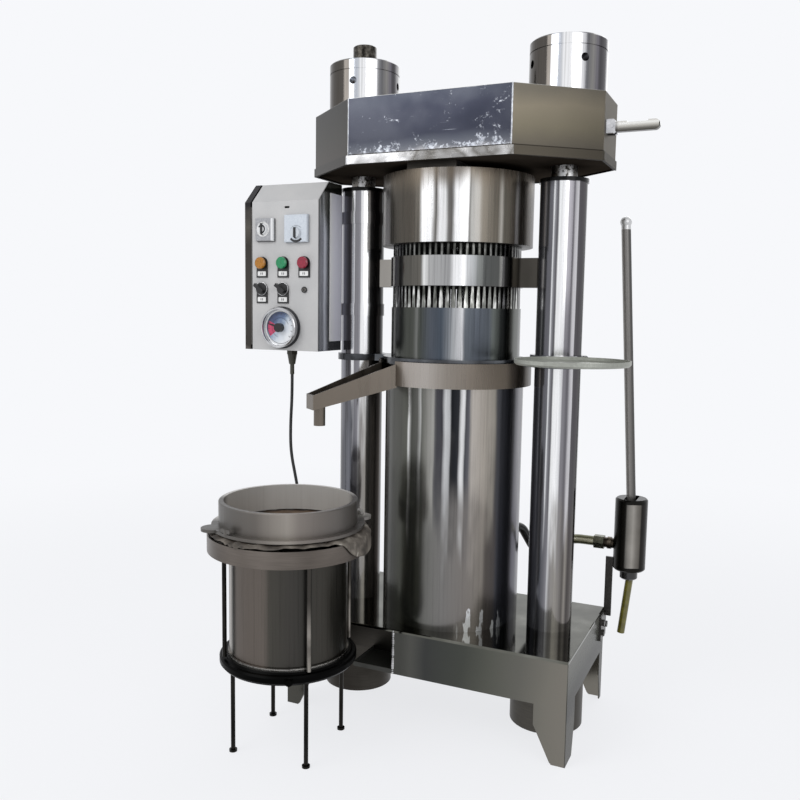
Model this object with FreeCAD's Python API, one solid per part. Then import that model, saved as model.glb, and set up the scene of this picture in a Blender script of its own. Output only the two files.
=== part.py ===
import FreeCAD, Part
import math
import os

# Vertical hydraulic oil press with its hand pump, control box and filter drum.
# Millimetres, +Z up, the front faces -Y, +X is on the right of someone facing the press.
# Pieces are drawn about the press axis, then moved so that the origin is at the bottom centre of the whole.

V = FreeCAD.Vector

# General sizes
SHEET = 3.0
THIN = 2.0
GAP = 0.4
SLIDE_FIT = 0.08
PIN_FIT = 0.05
HOLE_PLAY = 0.5

# Heights up the press
BASE_TOP = 242.3
SHROUD_HEIGHT = 579.7
TRAY_HEIGHT = 58.0
PLATE_SINK = 9.0
PLATE_T = 16.5
CAGE_HEIGHT = 266.5
HEAD_HEIGHT = 165.0
BEAM_CLEARANCE = 12.4
BEAM_HEIGHT = 148.0
NUT_HEIGHT = 128.4
STUB_HEIGHT = 48.0
SHROUD_TOP = BASE_TOP + SHROUD_HEIGHT
TRAY_TOP = SHROUD_TOP + TRAY_HEIGHT
PLATE_BOTTOM = TRAY_TOP - PLATE_SINK
CAGE_TOP = PLATE_BOTTOM + PLATE_T + CAGE_HEIGHT
HEAD_TOP = CAGE_TOP + HEAD_HEIGHT
BEAM_BOTTOM = HEAD_TOP + BEAM_CLEARANCE
BEAM_TOP = BEAM_BOTTOM + BEAM_HEIGHT
NUT_TOP = BEAM_TOP + NUT_HEIGHT
STUB_TOP = NUT_TOP + STUB_HEIGHT

# Radii that set how far apart the columns stand and how wide the base is
TRAY_R = 189.0
SLEEVE_R = 54.0
COLUMN_ROOM = 17.0
NUT_R = 87.8
NUT_ROOM = 10.2
CROSSHEAD_ROOM = 8.0
BEAM_REACH = 101.5
COLUMN_X = TRAY_R + SLEEVE_R + COLUMN_ROOM
BASE_HALF_X = COLUMN_X + NUT_R + NUT_ROOM
CROSSHEAD_HALF_X = BASE_HALF_X - CROSSHEAD_ROOM
BEAM_HALF_X = COLUMN_X + BEAM_REACH

# Base box and its legs
BASE_FRONT = -204.6
BASE_REAR = 187.0
TOP_PLATE = 6.0
PANEL_HEIGHT = 109.3
PANEL_BOTTOM = BASE_TOP - PANEL_HEIGHT
SEAM_X = -64.5
SHELF_LEFT = -170.0
LEFT_PANEL_END = -184.0
SHELF_RIM = 8.0
LEG_WIDTH = 75.0
FOOT_WIDTH = 36.0
LEG_KNEE = 85.0
SIDE_LEG_DEPTH = 78.6
SIDE_FOOT_DEPTH = 61.0
SIDE_KNEE = 71.0
REAR_LEG_DEPTH = 37.0
REAR_FOOT_DEPTH = 18.0
FOOT_CHAMFER = 5.0

# Tie rods, sleeves and nuts
ROD_R = 30.0
ROD_FOOT = 12.0
SLEEVE_WALL = 4.0
SLEEVE_DROP = 35.4
SLEEVE_TOP = BEAM_BOTTOM - SLEEVE_DROP
TOP_COLLAR_R = 57.0
TOP_COLLAR_H = 9.0
NUT_CHAMFER = 3.0
NUT_CAP = 14.0
LOWER_NUT_FOOT = 5.0
SPANNER_HOLE_R = 9.0
SPANNER_HOLE_DEPTH = 28.0
SPANNER_HOLE_DROP = 52.8
LEFT_HOLES = -82.0
RIGHT_HOLES = -52.0
SPANNER_HOLE_Z = NUT_TOP - SPANNER_HOLE_DROP
NUT_GROOVE_DROP = 25.8
NUT_GROOVE_Z = NUT_TOP - NUT_GROOVE_DROP
NUT_GROOVE = 2.0
STUB_R = 30.0
LIFT_PIN_R = 29.5
LIFT_PIN_CHAMFER = 2.0
CROSSHEAD_HALF_Y = 95.0

# Upper beam
BEAM_HALF_Y = 208.3
BEAM_FACE_X = 195.7
BEAM_END_Y = 69.3
LIP_HEIGHT = 20.0
LIP_PROUD = 3.0
CROSSHEAD_SETBACK = 4.0

# Hydraulic cylinder and ram
SHROUD_INSET = 18.4
SHROUD_R = TRAY_R - SHROUD_INSET
CYLINDER_R = 150.0
CYLINDER_FLOOR = 44.0
RAM_R = 125.0
RAM_PLAY = 0.3
GLAND_R = 141.0
GLAND_HEIGHT = 20.0
SEAL_HEIGHT = 10.0
SEAL_LIP = 6.0
PRESS_PLATE_T = 20.0
RAM_TRAVEL = 200.0

# Oil tray and spout
SPOUT_X = -228.0
SPOUT_Y = -275.0
SPOUT_DROP = 77.0
SPOUT_END_HEIGHT = 34.0
SPOUT_END_TOP = TRAY_TOP - SPOUT_DROP
SPOUT_END_BOTTOM = SPOUT_END_TOP - SPOUT_END_HEIGHT
SPOUT_END_WIDTH = 46.0
SPOUT_ROOT_WIDTH = 92.0
SPOUT_OVERHANG = 24.0
OUTLET_R = 13.5
OUTLET_WALL = 2.0
OUTLET_LENGTH = 38.5
OUTLET_BOTTOM = SPOUT_END_BOTTOM - OUTLET_LENGTH

# Barrel plate, cage, band, guard
PLATE_INSET = 11.0
PLATE_R = TRAY_R - PLATE_INSET
ARM_HALF_Y = 32.0
EYE_R = 62.0
CAGE_INNER_R = 130.0
CAGE_OUTER_R = 156.5
CAGE_RIM = 9.0
SLOT_COUNT = 68
SLOT_WIDTH = 3.2
BAND_DROP = 97.0
BAND_HEIGHT = 70.0
BAND_BOTTOM = CAGE_TOP - BAND_DROP
BAND_TOP = BAND_BOTTOM + BAND_HEIGHT
BAND_R = 162.0
LUG_HALF_Y = 11.0
GUARD_R = 159.0
GUARD_SPACE = 50.0
GUARD_TOP = BAND_BOTTOM - GUARD_SPACE

# Press head
HEAD_INSET = 5.5
HEAD_R = TRAY_R - HEAD_INSET
HEAD_TRAVEL = 310.0
KEY_NECK_HALF = 60.0
KEY_HALF = 90.0
KEY_RISE = 20.6
KEY_FLANGE_Z = BEAM_BOTTOM + KEY_RISE
KEY_FLANGE_T = 20.0
KEY_FRONT = -175.0
KEY_REAR = 60.0

# Latch on the beam's right end
LATCH_Y = -42.0
LATCH_RISE = 74.6
LATCH_STAND = 14.0
LATCH_Z = BEAM_BOTTOM + LATCH_RISE
LATCH_PIVOT_X = BEAM_HALF_X + LATCH_STAND
LATCH_PIN_R = 4.0
LATCH_LENGTH = 100.0
LATCH_HEIGHT = 22.0
LATCH_T = 14.0
LATCH_GRIP = 14.0
LATCH_WAIST_START = 30.0
LATCH_WAIST_CUT = 3.0
CLEVIS_HALF_Y = 18.0
CLEVIS_HALF_Z = 15.0

# Swing tray on the right column
DISH_R = 123.0
DISH_DEPTH = 12.0
DISH_REACH = 193.0
DISH_ANGLE = -67.2
COLLAR_R = 66.0
COLLAR_HEIGHT = 12.0
TRAY_ARM_WIDTH = 34.0
TRAY_ARM_T = 8.0
THUMB_R = 7.0

# Hand pump at the right rear corner
PUMP_OFFSET = 58.0
PUMP_INSET = 2.0
PUMP_RISE = 109.7
PUMP_HEIGHT = 185.0
PUMP_X = BASE_HALF_X + PUMP_OFFSET
PUMP_Y = BASE_REAR - PUMP_INSET
PUMP_R = 40.0
PUMP_BOTTOM = BASE_TOP + PUMP_RISE
PUMP_TOP = PUMP_BOTTOM + PUMP_HEIGHT
PUMP_FACE = 32.0
PUMP_FACE_TURN = 24.0
LEVER_PIVOT_DROP = 32.0
LEVER_PIVOT_Z = PUMP_TOP - LEVER_PIVOT_DROP
LEVER_R = 11.5
LEVER_LEAN = 44.0
LEVER_RISE = 719.0
LEVER_TOP_X = PUMP_X - LEVER_LEAN
LEVER_TOP_Z = LEVER_PIVOT_Z + LEVER_RISE
LEVER_KNOB_R = 14.0
LEVER_PLAY = 3.5
PUMP_PIN_R = 5.0
PUMP_GLAND_R = 22.0
PUMP_GLAND_HEIGHT = 24.0
DRAIN_R = 9.5
DRAIN_WALL = 1.5
DRAIN_LENGTH = 148.0
DRAIN_LEAN = 6.2
STRAP_T = 6.0
STRAP_WIDTH = 20.0
STRAP_LAP = 20.0
STRAP_RISE = 26.0
STRAP_BITE = 12.0
CLAMP_WIDTH = 62.0
CLAMP_HEIGHT = 62.3
CLAMP_DROP = 8.0
BOLT_R = 8.0
BOLT_HEAD = 6.0
BOLT_PLACES = ((46.0, 26.3), (46.0, 52.3), (14.0, 39.3))
PIPE_R = 12.0
PIPE_RISE = 62.0
PIPE_Z = PUMP_BOTTOM + PIPE_RISE
PIPE_BEND_X = 262.0
PIPE_DIP_X = 178.0
PIPE_DIP = 62.0
PIPE_RUN = 34.0
PIPE_PORT_ANGLE = 52.0
PIPE_PORT_Z = 432.0
PIPE_PORT_R = 17.0
PIPE_PORT_LENGTH = 14.0
PIPE_NUT_R = 18.0
PIPE_NUT_LENGTH = 26.0
PIPE_NECK_R = 13.0
PIPE_COLLAR_R = 15.5
PIPE_FITTING = 44.0

# Control box on the left column
BOX_ROOM = 40.0
BOX_WIDTH = 213.0
BOX_RIGHT = -COLUMN_X - BOX_ROOM
BOX_LEFT = BOX_RIGHT - BOX_WIDTH
BOX_FRONT = -161.0
BOX_REAR = -42.5
BOX_BOTTOM = 895.0
GAUGE_RISE = 57.0
SELECTOR_RISE = 96.0
BUTTON_RISE = 64.0
METER_RISE = 82.0
SIGHT_RISE = 136.0
FOLD_RISE = 15.0
BOX_CROWN = 49.0
GAUGE_Z = BOX_BOTTOM + GAUGE_RISE
SELECTOR_Z = GAUGE_Z + SELECTOR_RISE
BUTTON_Z = SELECTOR_Z + BUTTON_RISE
METER_Z = BUTTON_Z + METER_RISE
SIGHT_Z = BUTTON_Z + SIGHT_RISE
BOX_FOLD_Z = SIGHT_Z + FOLD_RISE
BOX_TOP = BOX_FOLD_Z + BOX_CROWN
RIM_WIDTH = 17.0
HINGE_SPACE = 5.0
HINGE_R = 2.2
STRAP_RING_T = 2.6
STRAP_RING_H = 30.0
STRAP_LOW_Z = 985.0
STRAP_HIGH_Z = 1215.0
FILM_FRONT = -104.0

# Instruments on the door: distance from its right edge, and Z
BUTTON_PLACES = (161.0, 99.0, 38.3)
BUTTON_XS = [BOX_RIGHT - place for place in BUTTON_PLACES]
BUTTON_R = 14.5
STEM_R = 12.0
BUTTON_TRAVEL = 4.0
BEZEL_R = 15.5
BEZEL_DEPTH = 4.0
BUTTON_T = 6.0
BUTTON_STEM = 8.0
HOLDER_T = 2.5
HOLDER_WIDTH = 32.0
HOLDER_DROP = 36.0
METER_SIZES = ((BOX_RIGHT - 150.0, METER_Z, 52.0, 56.0), (BOX_RIGHT - 59.0, METER_Z + 1.0, 66.0, 67.0))
METER_DEPTH = 10.0
METER_KNOBS = ((BOX_RIGHT - 153.0, METER_Z + 1.0, 15.0), (BOX_RIGHT - 57.0, METER_Z - 10.0, 14.0))
KNOB_DEPTH = 6.0
LOCK_PLACE = 38.0
LOCK_X = BOX_RIGHT - LOCK_PLACE
LOCK_DROP = 2.0
LOCK_Z = SELECTOR_Z - LOCK_DROP
LOCK_R = 7.5
GAUGE_PLACE = 102.5
GAUGE_X = BOX_RIGHT - GAUGE_PLACE
GAUGE_R = 50.0
GAUGE_DEPTH = 22.0
GAUGE_RIM = 5.0
GAUGE_HUB_R = 11.0
SIGHT_PLACE = 89.0
SIGHT_X = BOX_RIGHT - SIGHT_PLACE

# Cable gland and mains lead
GLAND_PLACE = 111.0
GLAND_X = BOX_RIGHT - GLAND_PLACE
GLAND_Y = -100.0
GLAND_TIP_Z = 831.0
CORD_R = 4.0
COIL_X = -529.0
COIL_Y = 72.0
COIL_R = 44.0
COIL_HALF = 13.0
COIL_HEIGHT = 22.0
PLUG_LENGTH = 46.0
PLUG_START = 28.0
PLUG_R = 13.0

# Filter drum in front of the press
DRUM_X = -254.0
DRUM_Y = -366.0
DRUM_BASE_Z = 200.0
DRUM_BASE_H = 26.0
TANK_R = 134.0
DRUM_BASE_PROUD = 22.0
DRUM_BASE_R = TANK_R + DRUM_BASE_PROUD
TANK_SEAM = 6.0
GUTTER_PROUD = 48.0
GUTTER_R = TANK_R + GUTTER_PROUD
GUTTER_BOTTOM = 463.0
GUTTER_TOP = 501.0
FLANGE_Z = 514.0
FLANGE_T = 7.0
FLANGE_INSET = 10.0
FLANGE_R = GUTTER_R - FLANGE_INSET
RING_INSET = 16.0
RING_R = FLANGE_R - RING_INSET
RING_WALL = 11.0
RING_TOP = 574.0
EAR_PROUD = 25.0
EAR_REACH = FLANGE_R + EAR_PROUD
EAR_HALF = 26.0
CLOTH_T = 6.0
DRUM_ROD_ANGLE = -41.0
DRUM_ROD_SPACE = 14.0
DRUM_ROD_RADIUS = TANK_R + DRUM_ROD_SPACE
DRUM_ROD_R = 5.0
DRUM_FOOT_R = 9.0
RING_LIFT = 150.0
CLIP_ANGLES = (-133.0, 47.0)


def box(x0, x1, y0, y1, z0, z1):
    return Part.makeBox(x1 - x0, y1 - y0, z1 - z0, V(x0, y0, z0))


def cyl(radius, x, y, z0, z1):
    return Part.makeCylinder(radius, z1 - z0, V(x, y, z0))


def tube(outer, inner, x, y, z0, z1):
    return cyl(outer, x, y, z0, z1).cut(cyl(inner, x, y, z0 - 1, z1 + 1))


def rod(radius, start, end):
    run = V(*end) - V(*start)
    return Part.makeCylinder(radius, run.Length, V(*start), run)


def face_rod(radius, x, z, y0, y1):
    return Part.makeCylinder(radius, y1 - y0, V(x, y0, z), V(0, 1, 0))


def prism(points, along):
    corners = [V(*p) for p in points]
    face = Part.Face(Part.makePolygon(corners + corners[:1]))
    return face.extrude(V(*along))


def revolve(profile, x, y):
    corners = [V(x + r, y, z) for r, z in profile]
    face = Part.Face(Part.makePolygon(corners + corners[:1]))
    return face.revolve(V(x, y, 0), V(0, 0, 1), 360)


def turned(shape, angle, x=0.0, y=0.0):
    copy = shape.copy()
    copy.rotate(V(x, y, 0), V(0, 0, 1), angle)
    return copy


def group(*shapes):
    return Part.makeCompound([solid for shape in shapes for solid in shape.Solids])


def join(first, *others):
    result = first
    for other in others:
        result = result.fuse(other)
    return result.removeSplitter()


def eased(shape, size, wanted):
    edges = [edge for edge in shape.Edges if wanted(edge)]
    return shape.makeChamfer(size, edges) if edges else shape


def octagon(grow, z):
    """Outline of the upper beam, moved outward by grow."""
    run = V(BEAM_HALF_X - BEAM_FACE_X, BEAM_END_Y - BEAM_HALF_Y, 0)
    nx = -run.y / run.Length
    ny = run.x / run.Length
    face_x = BEAM_FACE_X + grow * nx / (1 + ny)
    end_y = BEAM_END_Y + grow * ny / (1 + nx)
    half_x = BEAM_HALF_X + grow
    half_y = BEAM_HALF_Y + grow
    quarter = [(face_x, half_y), (half_x, end_y)]
    right = quarter + [(x, -y) for x, y in reversed(quarter)]
    left = [(-x, -y) for x, y in right]
    return [(x, y, z) for x, y in right + left]


# Base
PANEL_TOP = BASE_TOP - TOP_PLATE
CROSSHEAD_BOTTOM = PANEL_BOTTOM + SHEET
SIDES = (-1, 1)


def leg_outline(far_x, corner_x, y):
    """Panel with one leg at corner_x, in the plane y, reaching to far_x."""
    side = 1 if corner_x > far_x else -1
    knee_x = corner_x - side * LEG_WIDTH
    foot_x = corner_x - side * FOOT_WIDTH
    return [
        (far_x, y, PANEL_TOP), (far_x, y, PANEL_BOTTOM), (knee_x, y, PANEL_BOTTOM), (knee_x, y, LEG_KNEE),
        (foot_x, y, FOOT_CHAMFER), (foot_x + side * FOOT_CHAMFER, y, 0),
        (corner_x, y, 0), (corner_x, y, PANEL_TOP),
    ]


def base_front_panels():
    right = prism(leg_outline(SEAM_X, BASE_HALF_X, BASE_FRONT), (0, SHEET, 0))
    left = prism(leg_outline(LEFT_PANEL_END, -BASE_HALF_X, BASE_FRONT), (0, SHEET, 0))
    return group(right, left, base_shelf())


def base_rear_panels():
    y = BASE_REAR - SHEET
    halves = [prism(leg_outline(0, side * BASE_HALF_X, y), (0, SHEET, 0)) for side in SIDES]
    return group(join(*halves), base_side_panels())


def base_side_panels():
    front = BASE_FRONT + SHEET
    rear = BASE_REAR - SHEET
    outline = [
        (front, 0), (BASE_FRONT + SIDE_FOOT_DEPTH, 0), (BASE_FRONT + SIDE_LEG_DEPTH, SIDE_KNEE),
        (BASE_FRONT + SIDE_LEG_DEPTH, PANEL_BOTTOM), (BASE_REAR - REAR_LEG_DEPTH, PANEL_BOTTOM),
        (BASE_REAR - REAR_LEG_DEPTH, SIDE_KNEE), (BASE_REAR - REAR_FOOT_DEPTH, 0), (rear, 0),
        (rear, PANEL_TOP), (front, PANEL_TOP),
    ]
    right = prism([(BASE_HALF_X - SHEET, y, z) for y, z in outline], (SHEET, 0, 0))
    left = prism([(-BASE_HALF_X, y, z) for y, z in outline], (SHEET, 0, 0))
    return group(right, left)


def base_top_plate():
    plate = box(-BASE_HALF_X, BASE_HALF_X, BASE_FRONT, BASE_REAR, PANEL_TOP, BASE_TOP)
    plate = eased(plate, 1.5, lambda e: abs(e.BoundBox.ZMin - BASE_TOP) < 0.01)
    holes = [cyl(ROD_R + HOLE_PLAY, side * COLUMN_X, 0, PANEL_TOP - 1, BASE_TOP + 1) for side in SIDES]
    cylinder_hole = cyl(CYLINDER_R + HOLE_PLAY, 0, 0, PANEL_TOP - 1, BASE_TOP + 1)
    return plate.cut(group(cylinder_hole, *holes))


def base_shelf():
    rear = BASE_REAR - SHEET
    rim_top = CROSSHEAD_BOTTOM + SHELF_RIM
    plate = box(SHELF_LEFT, SEAM_X, BASE_FRONT, rear, PANEL_BOTTOM, CROSSHEAD_BOTTOM)
    front_rim = box(SHELF_LEFT, SEAM_X, BASE_FRONT, BASE_FRONT + SHEET, CROSSHEAD_BOTTOM, rim_top)
    left_rim = box(SHELF_LEFT, SHELF_LEFT + SHEET, BASE_FRONT, -CROSSHEAD_HALF_Y, CROSSHEAD_BOTTOM, rim_top)
    return join(plate, front_rim, left_rim)


def lower_crosshead():
    beam = box(-CROSSHEAD_HALF_X, CROSSHEAD_HALF_X, -CROSSHEAD_HALF_Y, CROSSHEAD_HALF_Y,
               CROSSHEAD_BOTTOM, PANEL_TOP)
    beam = eased(beam, 8, lambda e: abs(e.Vertexes[0].Z - e.Vertexes[1].Z) > 10)
    holes = [cyl(ROD_R + HOLE_PLAY, side * COLUMN_X, 0, 0, BASE_TOP) for side in SIDES]
    return beam.cut(group(*holes))


# Columns
def tie_rods():
    plain_top = NUT_TOP - NUT_CAP
    right = cyl(ROD_R, COLUMN_X, 0, ROD_FOOT, plain_top)
    left = cyl(ROD_R, -COLUMN_X, 0, ROD_FOOT, plain_top)
    neck = cyl(STUB_R, -COLUMN_X, 0, plain_top, NUT_TOP)
    pin = cyl(LIFT_PIN_R, -COLUMN_X, 0, NUT_TOP, STUB_TOP)
    pin = eased(pin, LIFT_PIN_CHAMFER, lambda e: abs(e.BoundBox.ZMin - STUB_TOP) < 0.01)
    return group(right, join(left, neck, pin))


def column_sleeves():
    """Polished sleeves round the tie rods, each closed by a dark collar."""
    pieces = []
    for side in SIDES:
        x = side * COLUMN_X
        pieces.append(tube(SLEEVE_R, SLEEVE_R - SLEEVE_WALL, x, 0, BASE_TOP, SLEEVE_TOP))
        pieces.append(tube(TOP_COLLAR_R, ROD_R + HOLE_PLAY, x, 0, SLEEVE_TOP, SLEEVE_TOP + TOP_COLLAR_H))
    return group(*pieces)


def column_nuts():
    nuts = []
    for side in SIDES:
        x = side * COLUMN_X
        nut = cyl(NUT_R, x, 0, BEAM_TOP, NUT_TOP)
        nut = eased(nut, NUT_CHAMFER, lambda e: abs(e.BoundBox.ZMin - NUT_TOP) < 0.01)
        cuts = [cyl(ROD_R + HOLE_PLAY, x, 0, BEAM_TOP - 1, NUT_TOP - NUT_CAP)]
        groove = tube(NUT_R + 1, NUT_R - NUT_GROOVE, x, 0, NUT_GROOVE_Z, NUT_GROOVE_Z + NUT_GROOVE)
        cuts.append(groove)
        first = LEFT_HOLES if side < 0 else RIGHT_HOLES
        for step in range(4):
            hole = rod(SPANNER_HOLE_R, (x + NUT_R - SPANNER_HOLE_DEPTH, 0, SPANNER_HOLE_Z),
                       (x + NUT_R + 1, 0, SPANNER_HOLE_Z))
            cuts.append(turned(hole, 90 * step + first, x, 0))
        if side < 0:
            cuts.append(cyl(STUB_R + HOLE_PLAY, x, 0, BEAM_TOP, NUT_TOP + 1))
        nuts.append(nut.cut(group(*cuts)))
    return group(*nuts)


def lower_nuts():
    nuts = []
    for side in SIDES:
        nut = tube(NUT_R, ROD_R + HOLE_PLAY, side * COLUMN_X, 0, LOWER_NUT_FOOT, CROSSHEAD_BOTTOM)
        nuts.append(nut)
    return group(*nuts)


# Upper beam
KEY_SLOT_HALF = KEY_HALF + HOLE_PLAY
KEY_SLOT_TOP = KEY_FLANGE_Z + KEY_FLANGE_T + 2 * HOLE_PLAY


def key_slot():
    """T-shaped way for the head's key, open at the rear."""
    front = KEY_FRONT - 2
    rear = BEAM_HALF_Y + 1
    neck_half = KEY_NECK_HALF + HOLE_PLAY
    neck = box(-neck_half, neck_half, front, rear, BEAM_BOTTOM - 1, KEY_FLANGE_Z + 1)
    flange = box(-KEY_SLOT_HALF, KEY_SLOT_HALF, front, rear, KEY_FLANGE_Z, KEY_SLOT_TOP)
    return join(neck, flange)


def upper_crosshead():
    bottom = BEAM_BOTTOM + SHEET
    block = prism(octagon(-SHEET - CROSSHEAD_SETBACK, bottom), (0, 0, BEAM_TOP - SHEET - bottom))
    holes = [cyl(ROD_R + HOLE_PLAY, side * COLUMN_X, 0, bottom - 1, BEAM_TOP) for side in SIDES]
    return block.cut(group(*holes)).cut(key_slot())


def beam_cover():
    height = BEAM_TOP - BEAM_BOTTOM
    outer = prism(octagon(0, BEAM_BOTTOM), (0, 0, height))
    inner = prism(octagon(-SHEET, BEAM_BOTTOM - 1), (0, 0, height - SHEET + 1))
    lip = prism(octagon(LIP_PROUD, BEAM_BOTTOM), (0, 0, LIP_HEIGHT))
    behind = box(-BEAM_HALF_X, BEAM_HALF_X, BEAM_END_Y, BEAM_HALF_Y * 2, BEAM_BOTTOM - 1, BEAM_TOP + 1)
    shell = join(outer, lip.cut(behind)).cut(inner)
    holes = [cyl(ROD_R + HOLE_PLAY, side * COLUMN_X, 0, BEAM_BOTTOM, BEAM_TOP + 1) for side in SIDES]
    way_out = box(-KEY_SLOT_HALF - 2, KEY_SLOT_HALF + 2, BEAM_HALF_Y - 2 * SHEET, BEAM_HALF_Y + 1,
                  BEAM_BOTTOM - 1, KEY_SLOT_TOP + 2)
    return shell.cut(group(way_out, *holes))


# Hydraulic cylinder and ram
CYLINDER_BORE = RAM_R + RAM_PLAY
PLATE_TOP = PLATE_BOTTOM + PLATE_T
RAM_FOOT = PANEL_TOP + CYLINDER_FLOOR + GAP
RAM_HEAD = PLATE_TOP + GAP
SPOUT_ANGLE = math.degrees(math.atan2(SPOUT_Y, SPOUT_X))


def port(radius, from_r, to_r):
    c = math.cos(math.radians(PIPE_PORT_ANGLE))
    s = math.sin(math.radians(PIPE_PORT_ANGLE))
    return rod(radius, (c * from_r, s * from_r, PIPE_PORT_Z), (c * to_r, s * to_r, PIPE_PORT_Z))


def main_cylinder():
    body = cyl(CYLINDER_R, 0, 0, PANEL_TOP, PLATE_BOTTOM)
    bore = cyl(CYLINDER_BORE, 0, 0, PANEL_TOP + CYLINDER_FLOOR, PLATE_BOTTOM + 1)
    counterbore = cyl(GLAND_R, 0, 0, PLATE_BOTTOM - GLAND_HEIGHT - SEAL_HEIGHT, PLATE_BOTTOM + 1)
    return body.cut(bore).cut(counterbore)


def gland_ring():
    return tube(GLAND_R - SLIDE_FIT, CYLINDER_BORE, 0, 0, PLATE_BOTTOM - GLAND_HEIGHT, PLATE_BOTTOM)


def ram_seal():
    bottom = PLATE_BOTTOM - GLAND_HEIGHT - SEAL_HEIGHT
    top = PLATE_BOTTOM - GLAND_HEIGHT
    mid = (bottom + top) / 2
    profile = [(CYLINDER_BORE, bottom), (GLAND_R - SLIDE_FIT, bottom), (GLAND_R - SLIDE_FIT, top),
               (CYLINDER_BORE, top), (CYLINDER_BORE + SEAL_LIP, mid)]
    return revolve(profile, 0, 0)


def cylinder_shroud():
    shell = tube(SHROUD_R, SHROUD_R - SHEET, 0, 0, BASE_TOP, SHROUD_TOP)
    return shell.cut(port(PIPE_PORT_R + HOLE_PLAY, CYLINDER_R, SHROUD_R + 5))


def ram():
    body = cyl(RAM_R, 0, 0, RAM_FOOT, RAM_HEAD)
    return eased(body, 2, lambda e: abs(e.BoundBox.ZMax - RAM_FOOT) < 0.01)


def press_plate():
    plate = cyl(CAGE_INNER_R - 2 * RAM_PLAY, 0, 0, RAM_HEAD, RAM_HEAD + PRESS_PLATE_T)
    return eased(plate, 2, lambda e: abs(e.BoundBox.ZMin - RAM_HEAD - PRESS_PLATE_T) < 0.01)


# Oil tray
def trough(inset, top_grow):
    """Tapered trough from the tray to the outlet, drawn along +X and turned to the outlet's side."""
    end_x = math.hypot(SPOUT_X, SPOUT_Y) + SPOUT_OVERHANG - inset
    sections = []
    ends = ((TRAY_R - 24, SPOUT_ROOT_WIDTH, SHROUD_TOP, TRAY_TOP),
            (end_x, SPOUT_END_WIDTH, SPOUT_END_BOTTOM, SPOUT_END_TOP))
    for x, width, low, high in ends:
        half = width / 2 - inset
        corners = [V(x, -half, low + inset), V(x, half, low + inset), V(x, half, high + top_grow),
                   V(x, -half, high + top_grow)]
        sections.append(Part.makePolygon(corners + corners[:1]))
    return turned(Part.makeLoft(sections, True, True), SPOUT_ANGLE)


def oil_tray():
    ring = tube(TRAY_R, TRAY_R - SHEET, 0, 0, SHROUD_TOP, TRAY_TOP)
    floor = tube(TRAY_R, CYLINDER_R + HOLE_PLAY, 0, 0, SHROUD_TOP, SHROUD_TOP + SHEET)
    chute = trough(0, 0).cut(cyl(TRAY_R - SHEET, 0, 0, 0, 2 * TRAY_TOP))
    tray = join(ring, floor, chute)
    hollow = trough(SHEET, 60).cut(cyl(CYLINDER_R + HOLE_PLAY, 0, 0, 0, 2 * TRAY_TOP))
    hollow = hollow.cut(cyl(TRAY_R - 2 * SHEET, 0, 0, 0, SHROUD_TOP + SHEET))
    arm_way = box(-2 * TRAY_R, 2 * TRAY_R, -ARM_HALF_Y - 1, ARM_HALF_Y + 1, PLATE_BOTTOM - HOLE_PLAY,
                  TRAY_TOP + 1)
    outlet_hole = cyl(OUTLET_R - OUTLET_WALL, SPOUT_X, SPOUT_Y, 0, TRAY_TOP)
    return tray.cut(hollow).cut(arm_way).cut(outlet_hole)


def outlet_pipe():
    pipe = tube(OUTLET_R, OUTLET_R - OUTLET_WALL, SPOUT_X, SPOUT_Y, OUTLET_BOTTOM, SPOUT_END_TOP)
    below = pipe.cut(trough(0, 0))
    return min(below.Solids, key=lambda solid: solid.BoundBox.ZMin)


# Barrel plate, cage, band and guard
def barrel_plate():
    disc = cyl(PLATE_R, 0, 0, PLATE_BOTTOM, PLATE_TOP)
    arm = box(-COLUMN_X, COLUMN_X, -ARM_HALF_Y, ARM_HALF_Y, PLATE_BOTTOM, PLATE_TOP)
    eyes = [cyl(EYE_R, side * COLUMN_X, 0, PLATE_BOTTOM, PLATE_TOP) for side in SIDES]
    holes = [cyl(SLEEVE_R + HOLE_PLAY, side * COLUMN_X, 0, PLATE_BOTTOM - 1, PLATE_TOP + 1)
             for side in SIDES]
    ram_hole = cyl(CYLINDER_BORE, 0, 0, PLATE_BOTTOM - 1, PLATE_TOP + 1)
    return join(disc, arm, *eyes).cut(group(ram_hole, *holes))


def press_cage():
    """Thick barrel with upright slots that let the oil out."""
    body = tube(CAGE_OUTER_R, CAGE_INNER_R, 0, 0, PLATE_TOP, CAGE_TOP)
    slot = box(CAGE_INNER_R - 2, CAGE_OUTER_R + 2, -SLOT_WIDTH / 2, SLOT_WIDTH / 2,
               PLATE_TOP + CAGE_RIM, CAGE_TOP - CAGE_RIM)
    slots = [turned(slot, 360 * i / SLOT_COUNT) for i in range(SLOT_COUNT)]
    return body.cut(group(*slots))


def cage_band():
    ring = tube(BAND_R, CAGE_OUTER_R + PIN_FIT, 0, 0, BAND_BOTTOM, BAND_TOP)
    reach = COLUMN_X - SLEEVE_R
    bar = box(-reach, reach, -LUG_HALF_Y, LUG_HALF_Y, BAND_BOTTOM, BAND_TOP)
    lugs = bar.cut(cyl(BAND_R - 2, 0, 0, BAND_BOTTOM - 1, BAND_TOP + 1))
    return join(ring, *lugs.Solids)


def guard_sleeve():
    return tube(GUARD_R, CAGE_OUTER_R + PIN_FIT, 0, 0, PLATE_TOP, GUARD_TOP)


# Press head
HEAD_BOTTOM = CAGE_TOP + GAP


def head_cover():
    return tube(HEAD_R, HEAD_R - THIN, 0, 0, HEAD_BOTTOM, HEAD_TOP)


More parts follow.
